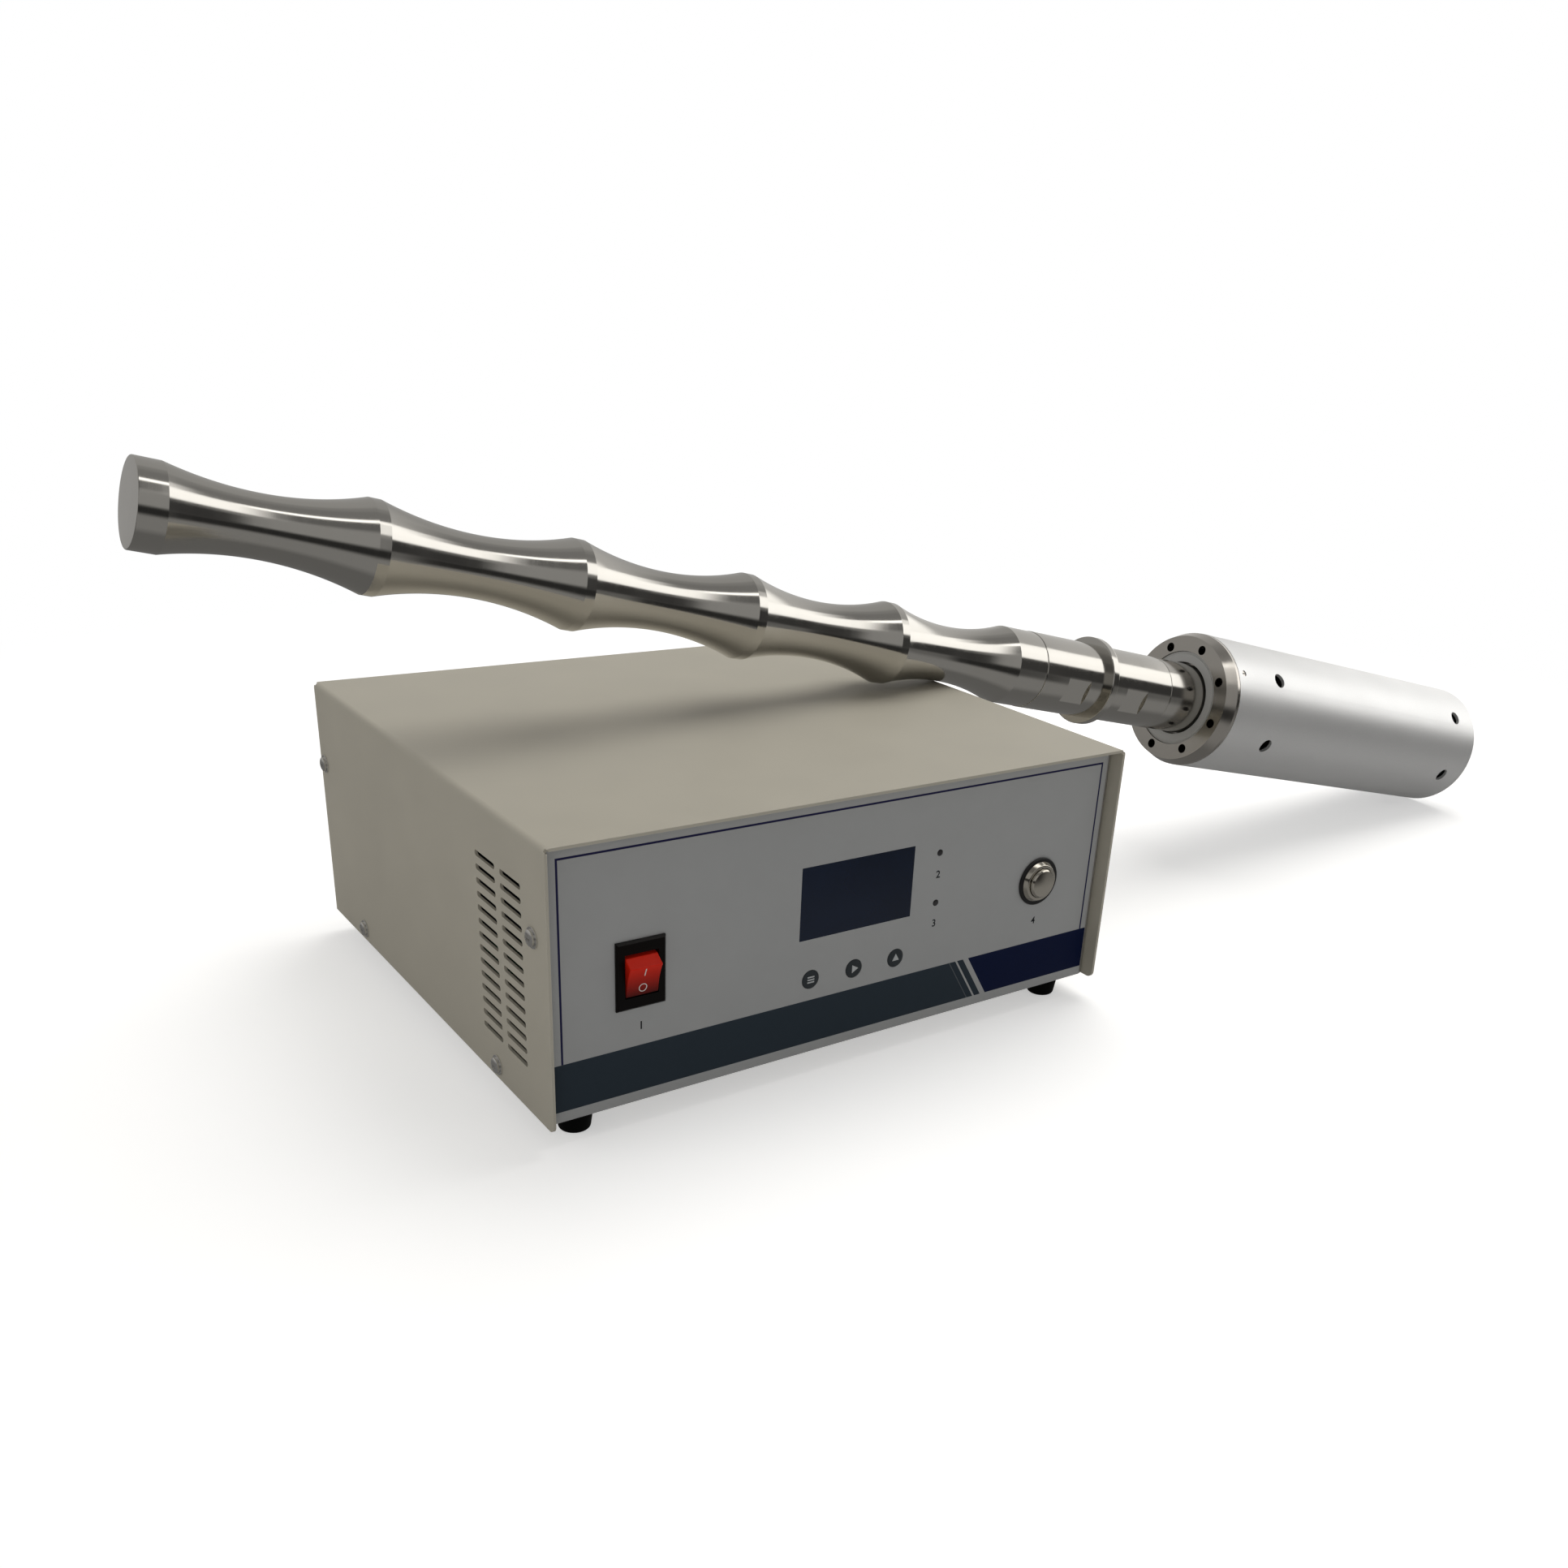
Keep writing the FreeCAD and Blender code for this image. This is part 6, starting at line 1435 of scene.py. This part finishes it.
            lift, sink = self.key_mark_lift, self.key_mark_sink
            if mark is KeyMark.BARS:
                shifts = (-self.bar_pitch, 0, self.bar_pitch)
                bars = [slab("bar", bar + (0, shift), place, lift, sink) for shift in shifts]
                piece = merged("key_mode_mark", bars)
            else:
                outline = pointer if mark is KeyMark.RIGHT else upward
                piece = slab(f"{mark.value}_mark", outline, place, lift, sink)
            self.wardrobe.settle(piece, "print_pale", body, slot="key_plastic")

    def lamp_rims(self) -> None:
        """A thin rounded rim round each indicator: half a circle carried round the lamp."""
        wide, narrow = self.lamp_rim_radius, self.lamp_radius
        bulge = arc((0, wide), ((wide - narrow) / 2, (wide + narrow) / 2), (0, narrow), 9)
        made = []
        for spot in self.lamp_places:
            axis = Axis.through(self.film_spot(*spot), Vector((0, -1, 0)))
            made.append(lathe(f"rim_{len(made)}", axis, bulge[::-1], 32, ring=True))
        piece = merged("indicator_rims", made)
        self.wardrobe.settle(piece, "led_plastic", "generator")

    def numerals(self) -> None:
        """Small plain numbers beside the controls, printed on the film."""
        made = []
        for text, *place in self.captions:
            curve = bpy.data.curves.new(f"numeral_{text}", "FONT")
            curve.body = text
            curve.size = self.caption_size * MM
            curve.extrude = self.caption_thickness * MM
            curve.offset = self.caption_weight * MM
            curve.align_x = curve.align_y = "CENTER"
            letter = bpy.data.objects.new(f"numeral_{text}", curve)
            bpy.context.scene.collection.objects.link(letter)
            graph = bpy.context.evaluated_depsgraph_get()
            mesh = bpy.data.meshes.new_from_object(letter.evaluated_get(graph))
            x, y, z = vertex_places(mesh).T
            middle = (x.max() + x.min()) / 2
            spots = np.column_stack([x - middle, -z, y]) + np.array(self.film_spot(*place))
            bpy.data.objects.remove(letter)
            made.append(make_object(f"numeral_{text}", spots, [list(p.vertices) for p in mesh.polygons]))
        piece = merged("panel_numerals", made)
        self.wardrobe.settle(piece, "print_dark", "generator", slot="panel_film")


# Studio


@dataclass(frozen=True)
class Card:
    """A strip of card beside the probe, light or dark, that only reflections show.

    Attributes:
        low: Where it begins, in degrees about the probe's axis from level at the front, upwards.
        high: Where it ends.
        level: Its brightness.
        soft: Half the width of its soft edges, in degrees.
        start: Where it begins along the probe, as the share of a ray that runs along the axis.
        stop: Where it ends along the probe.
        fade: Half the width of its soft ends.
    """

    low: float
    high: float
    level: float
    soft: float = 3.0
    start: float = -2.0
    stop: float = 2.0
    fade: float = 0.05


@dataclass(frozen=True)
class Lamp:
    """A soft rectangular lamp that reflections don't show.

    Attributes:
        name: The lamp's name.
        place: Where it stands, in metres.
        target: The point that it faces.
        size: Its width and height.
        power: Its power in watts.
    """

    name: str
    place: Triple
    target: Triple
    size: Span
    power: float


@dataclass
class Studio:
    """The floor, the lights, the world and the camera. Distances are metres.

    Attributes:
        probe: The probe's axis, which the reflected cards stand along.
        ambient: Level of the plain light from all round.
        backdrop: Level that polished metal sees where there is no card.
        cards: What it sees elsewhere, later cards in front of earlier ones.
        lamps: The lamps above, to the left and in front.
        warm: Colour of all that light.
        floor_glow: What the floor gains for the camera alone.
        floor_fade: Distances from the middle where the floor begins to fade and is white.
    """

    probe: Axis
    ambient: float = 0.3
    backdrop: float = 0.17
    cards: tuple[Card, ...] = (
        Card(-58, -14, 0.28, soft=8),
        Card(74, 104, 0.26),
        Card(104, 200, 0.42, soft=10),
        Card(-200, -168, 0.38, soft=5),
        Card(86, 200, 0.66, soft=5, start=0.6, fade=0.1),
        Card(84, 200, 1.7, soft=6, start=0.79, fade=0.03),
        Card(4, 44, 0.36, soft=4, stop=0.42, fade=0.1),
        Card(-15, 5, 0.03, soft=4, stop=0.7),
        Card(3, 32, 0.05, start=0.36, stop=0.68),
        Card(6, 43, 0.05, start=0.66),
        Card(41, 71, 1.8, soft=2.5, start=0.28, fade=0.08),
        Card(60, 86, 1.85, soft=2.5, start=0.58, fade=0.1),
        Card(66, 73, 2.4, soft=1.5, start=-0.3, stop=0.34),
    )
    lamps: tuple[Lamp, ...] = (
        Lamp("overhead", (0.85, 0.45, 2.2), (0.05, 0.0, 0.1), (2.0, 1.8), 38.5),
        Lamp("left", (-2.4, 0.3, 1.0), (-0.3, 0.0, 0.1), (1.4, 1.4), 7.8),
        Lamp("front", (-1.5, -2.1, 0.8), (-0.1, 0.0, 0.1), (1.4, 1.2), 4.4),
    )
    warm: Colour = (1.0, 0.985, 0.955)
    white: Colour = (1.0, 1.0, 1.0)
    floor_colour: Colour = (0.8, 0.8, 0.8)
    floor_reach: float = 30.0
    floor_glow: float = 0.45
    floor_fade: Span = (0.5, 1.1)
    camera_place: Triple = (-0.64218, -0.68573, 0.37090)
    camera_turn: Triple = (64.4879, -3.5463, -36.3048)
    lens: float = 32.76
    sensor: float = 36.0
    shift: Span = (-0.0491, 0.1251)

    def build(self) -> None:
        """Sets up the whole stage."""
        self.floor()
        self.lights()
        self.world()
        self.camera()
        bpy.context.scene.view_settings.view_transform = "Standard"

    def light(self, graph: Graph, kind: str, colour: Colour, level: object) -> Socket:
        """A plain light of one colour: an Emission on a surface, a Background in the world."""
        return graph.add(f"ShaderNode{kind}", {"Color": (*colour, 1.0), "Strength": level}).outputs[0]

    def floor(self) -> None:
        """A plain pale floor that keeps the near shadow and fades to white for the camera."""
        reach = self.floor_reach
        corners = np.column_stack([rectangle((-reach, -reach), (reach, reach)), np.zeros(4)])
        plane = make_object("floor", corners, [[0, 1, 2, 3]])
        paint = bpy.data.materials.new("pale_floor")
        graph = Graph.of(paint)
        seen = graph.add("ShaderNodeLightPath").outputs["Is Camera Ray"]
        matt = graph.add("ShaderNodeBsdfDiffuse", {"Color": (*self.floor_colour, 1.0)}).outputs[0]
        lift = graph.math("MULTIPLY", seen, self.floor_glow)
        glow = self.light(graph, "Emission", self.white, lift)
        near = graph.add("ShaderNodeAddShader", {0: matt, 1: glow}).outputs[0]
        place = graph.add("ShaderNodeTexCoord").outputs["Object"]
        away = graph.ramp(graph.vector("LENGTH", place).outputs["Value"], *self.floor_fade)
        fade = graph.math("MULTIPLY", away, seen)
        whole = {0: fade, 1: near, 2: self.light(graph, "Emission", self.white, 1.0)}
        both = graph.add("ShaderNodeMixShader", whole).outputs[0]
        graph.add("ShaderNodeOutputMaterial", {"Surface": both})
        plane.data.materials.append(paint)
        plane.visible_glossy = False

    def lights(self) -> None:
        """Sets up the lamps, unseen by the camera and in reflections."""
        for lamp in self.lamps:
            light = bpy.data.lights.new(lamp.name, "AREA")
            light.shape = "RECTANGLE"
            light.size, light.size_y = lamp.size
            light.energy = lamp.power
            light.color = self.warm
            holder = bpy.data.objects.new(lamp.name, light)
            holder.location = lamp.place
            way = Vector(lamp.target) - Vector(lamp.place)
            holder.rotation_euler = way.to_track_quat("-Z", "Y").to_euler()
            holder.visible_camera = False
            holder.visible_glossy = False
            bpy.context.scene.collection.objects.link(holder)

    def world(self) -> None:
        """White behind the object, an even light on it, and cards for metal to reflect.

        A card is shown where the ray's angle about the probe's axis and its share along that axis
        both lie between the card's limits.
        """
        world = bpy.data.worlds.new("studio")
        graph = Graph.of(world)
        bpy.context.scene.world = world
        ray = graph.add("ShaderNodeTexCoord").outputs["Generated"]
        above, ahead, along = (graph.vector("DOT_PRODUCT", ray, tuple(way)).outputs["Value"]
                               for way in (self.probe.up, -self.probe.side, self.probe.along))
        angle = graph.math("DEGREES", graph.math("ARCTAN2", above, ahead))
        level: object = self.backdrop
        for card in self.cards:
            around = graph.between(angle, card.low, card.high, card.soft)
            beside = graph.between(along, card.start, card.stop, card.fade)
            shown = graph.math("MULTIPLY", around, beside)
            level = graph.add("ShaderNodeMix", {0: shown, 2: level, 3: card.level}).outputs[0]
        studio, plain, white = (self.light(graph, "Background", *pair) for pair in (
            (self.warm, level), (self.warm, self.ambient), (self.white, 1.0)))
        path = graph.add("ShaderNodeLightPath").outputs
        shiny = graph.math("MAXIMUM", path["Is Glossy Ray"], path["Is Transmission Ray"])
        seen = graph.add("ShaderNodeMixShader", {0: shiny, 1: plain, 2: studio}).outputs[0]
        mixed = graph.add("ShaderNodeMixShader", {0: path["Is Camera Ray"], 1: seen, 2: white}).outputs[0]
        graph.add("ShaderNodeOutputWorld", {"Surface": mixed})

    def camera(self) -> None:
        """The camera at the photograph's place and angle."""
        lens = bpy.data.cameras.new("camera")
        lens.lens = self.lens
        lens.sensor_width = self.sensor
        lens.shift_x, lens.shift_y = self.shift
        lens.clip_start = 0.01
        holder = bpy.data.objects.new("camera", lens)
        holder.location = self.camera_place
        holder.rotation_euler = Euler([math.radians(a) for a in self.camera_turn])
        bpy.context.scene.collection.objects.link(holder)
        bpy.context.scene.camera = holder


def main() -> None:
    """Builds the pieces in order, dresses the frame and sets the stage."""
    logging.basicConfig(level=logging.INFO, format="%(name)s: %(message)s")
    probe = Probe(Wardrobe({}))
    generator = Generator(probe.wardrobe)
    probe.wardrobe.finishes.update(finishes(probe.axis, generator.corner()))
    probe.wardrobe.dress_nodes()
    probe.build()
    generator.build()
    Studio(probe.axis).build()
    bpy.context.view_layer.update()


if __name__ == "__main__":
    main()
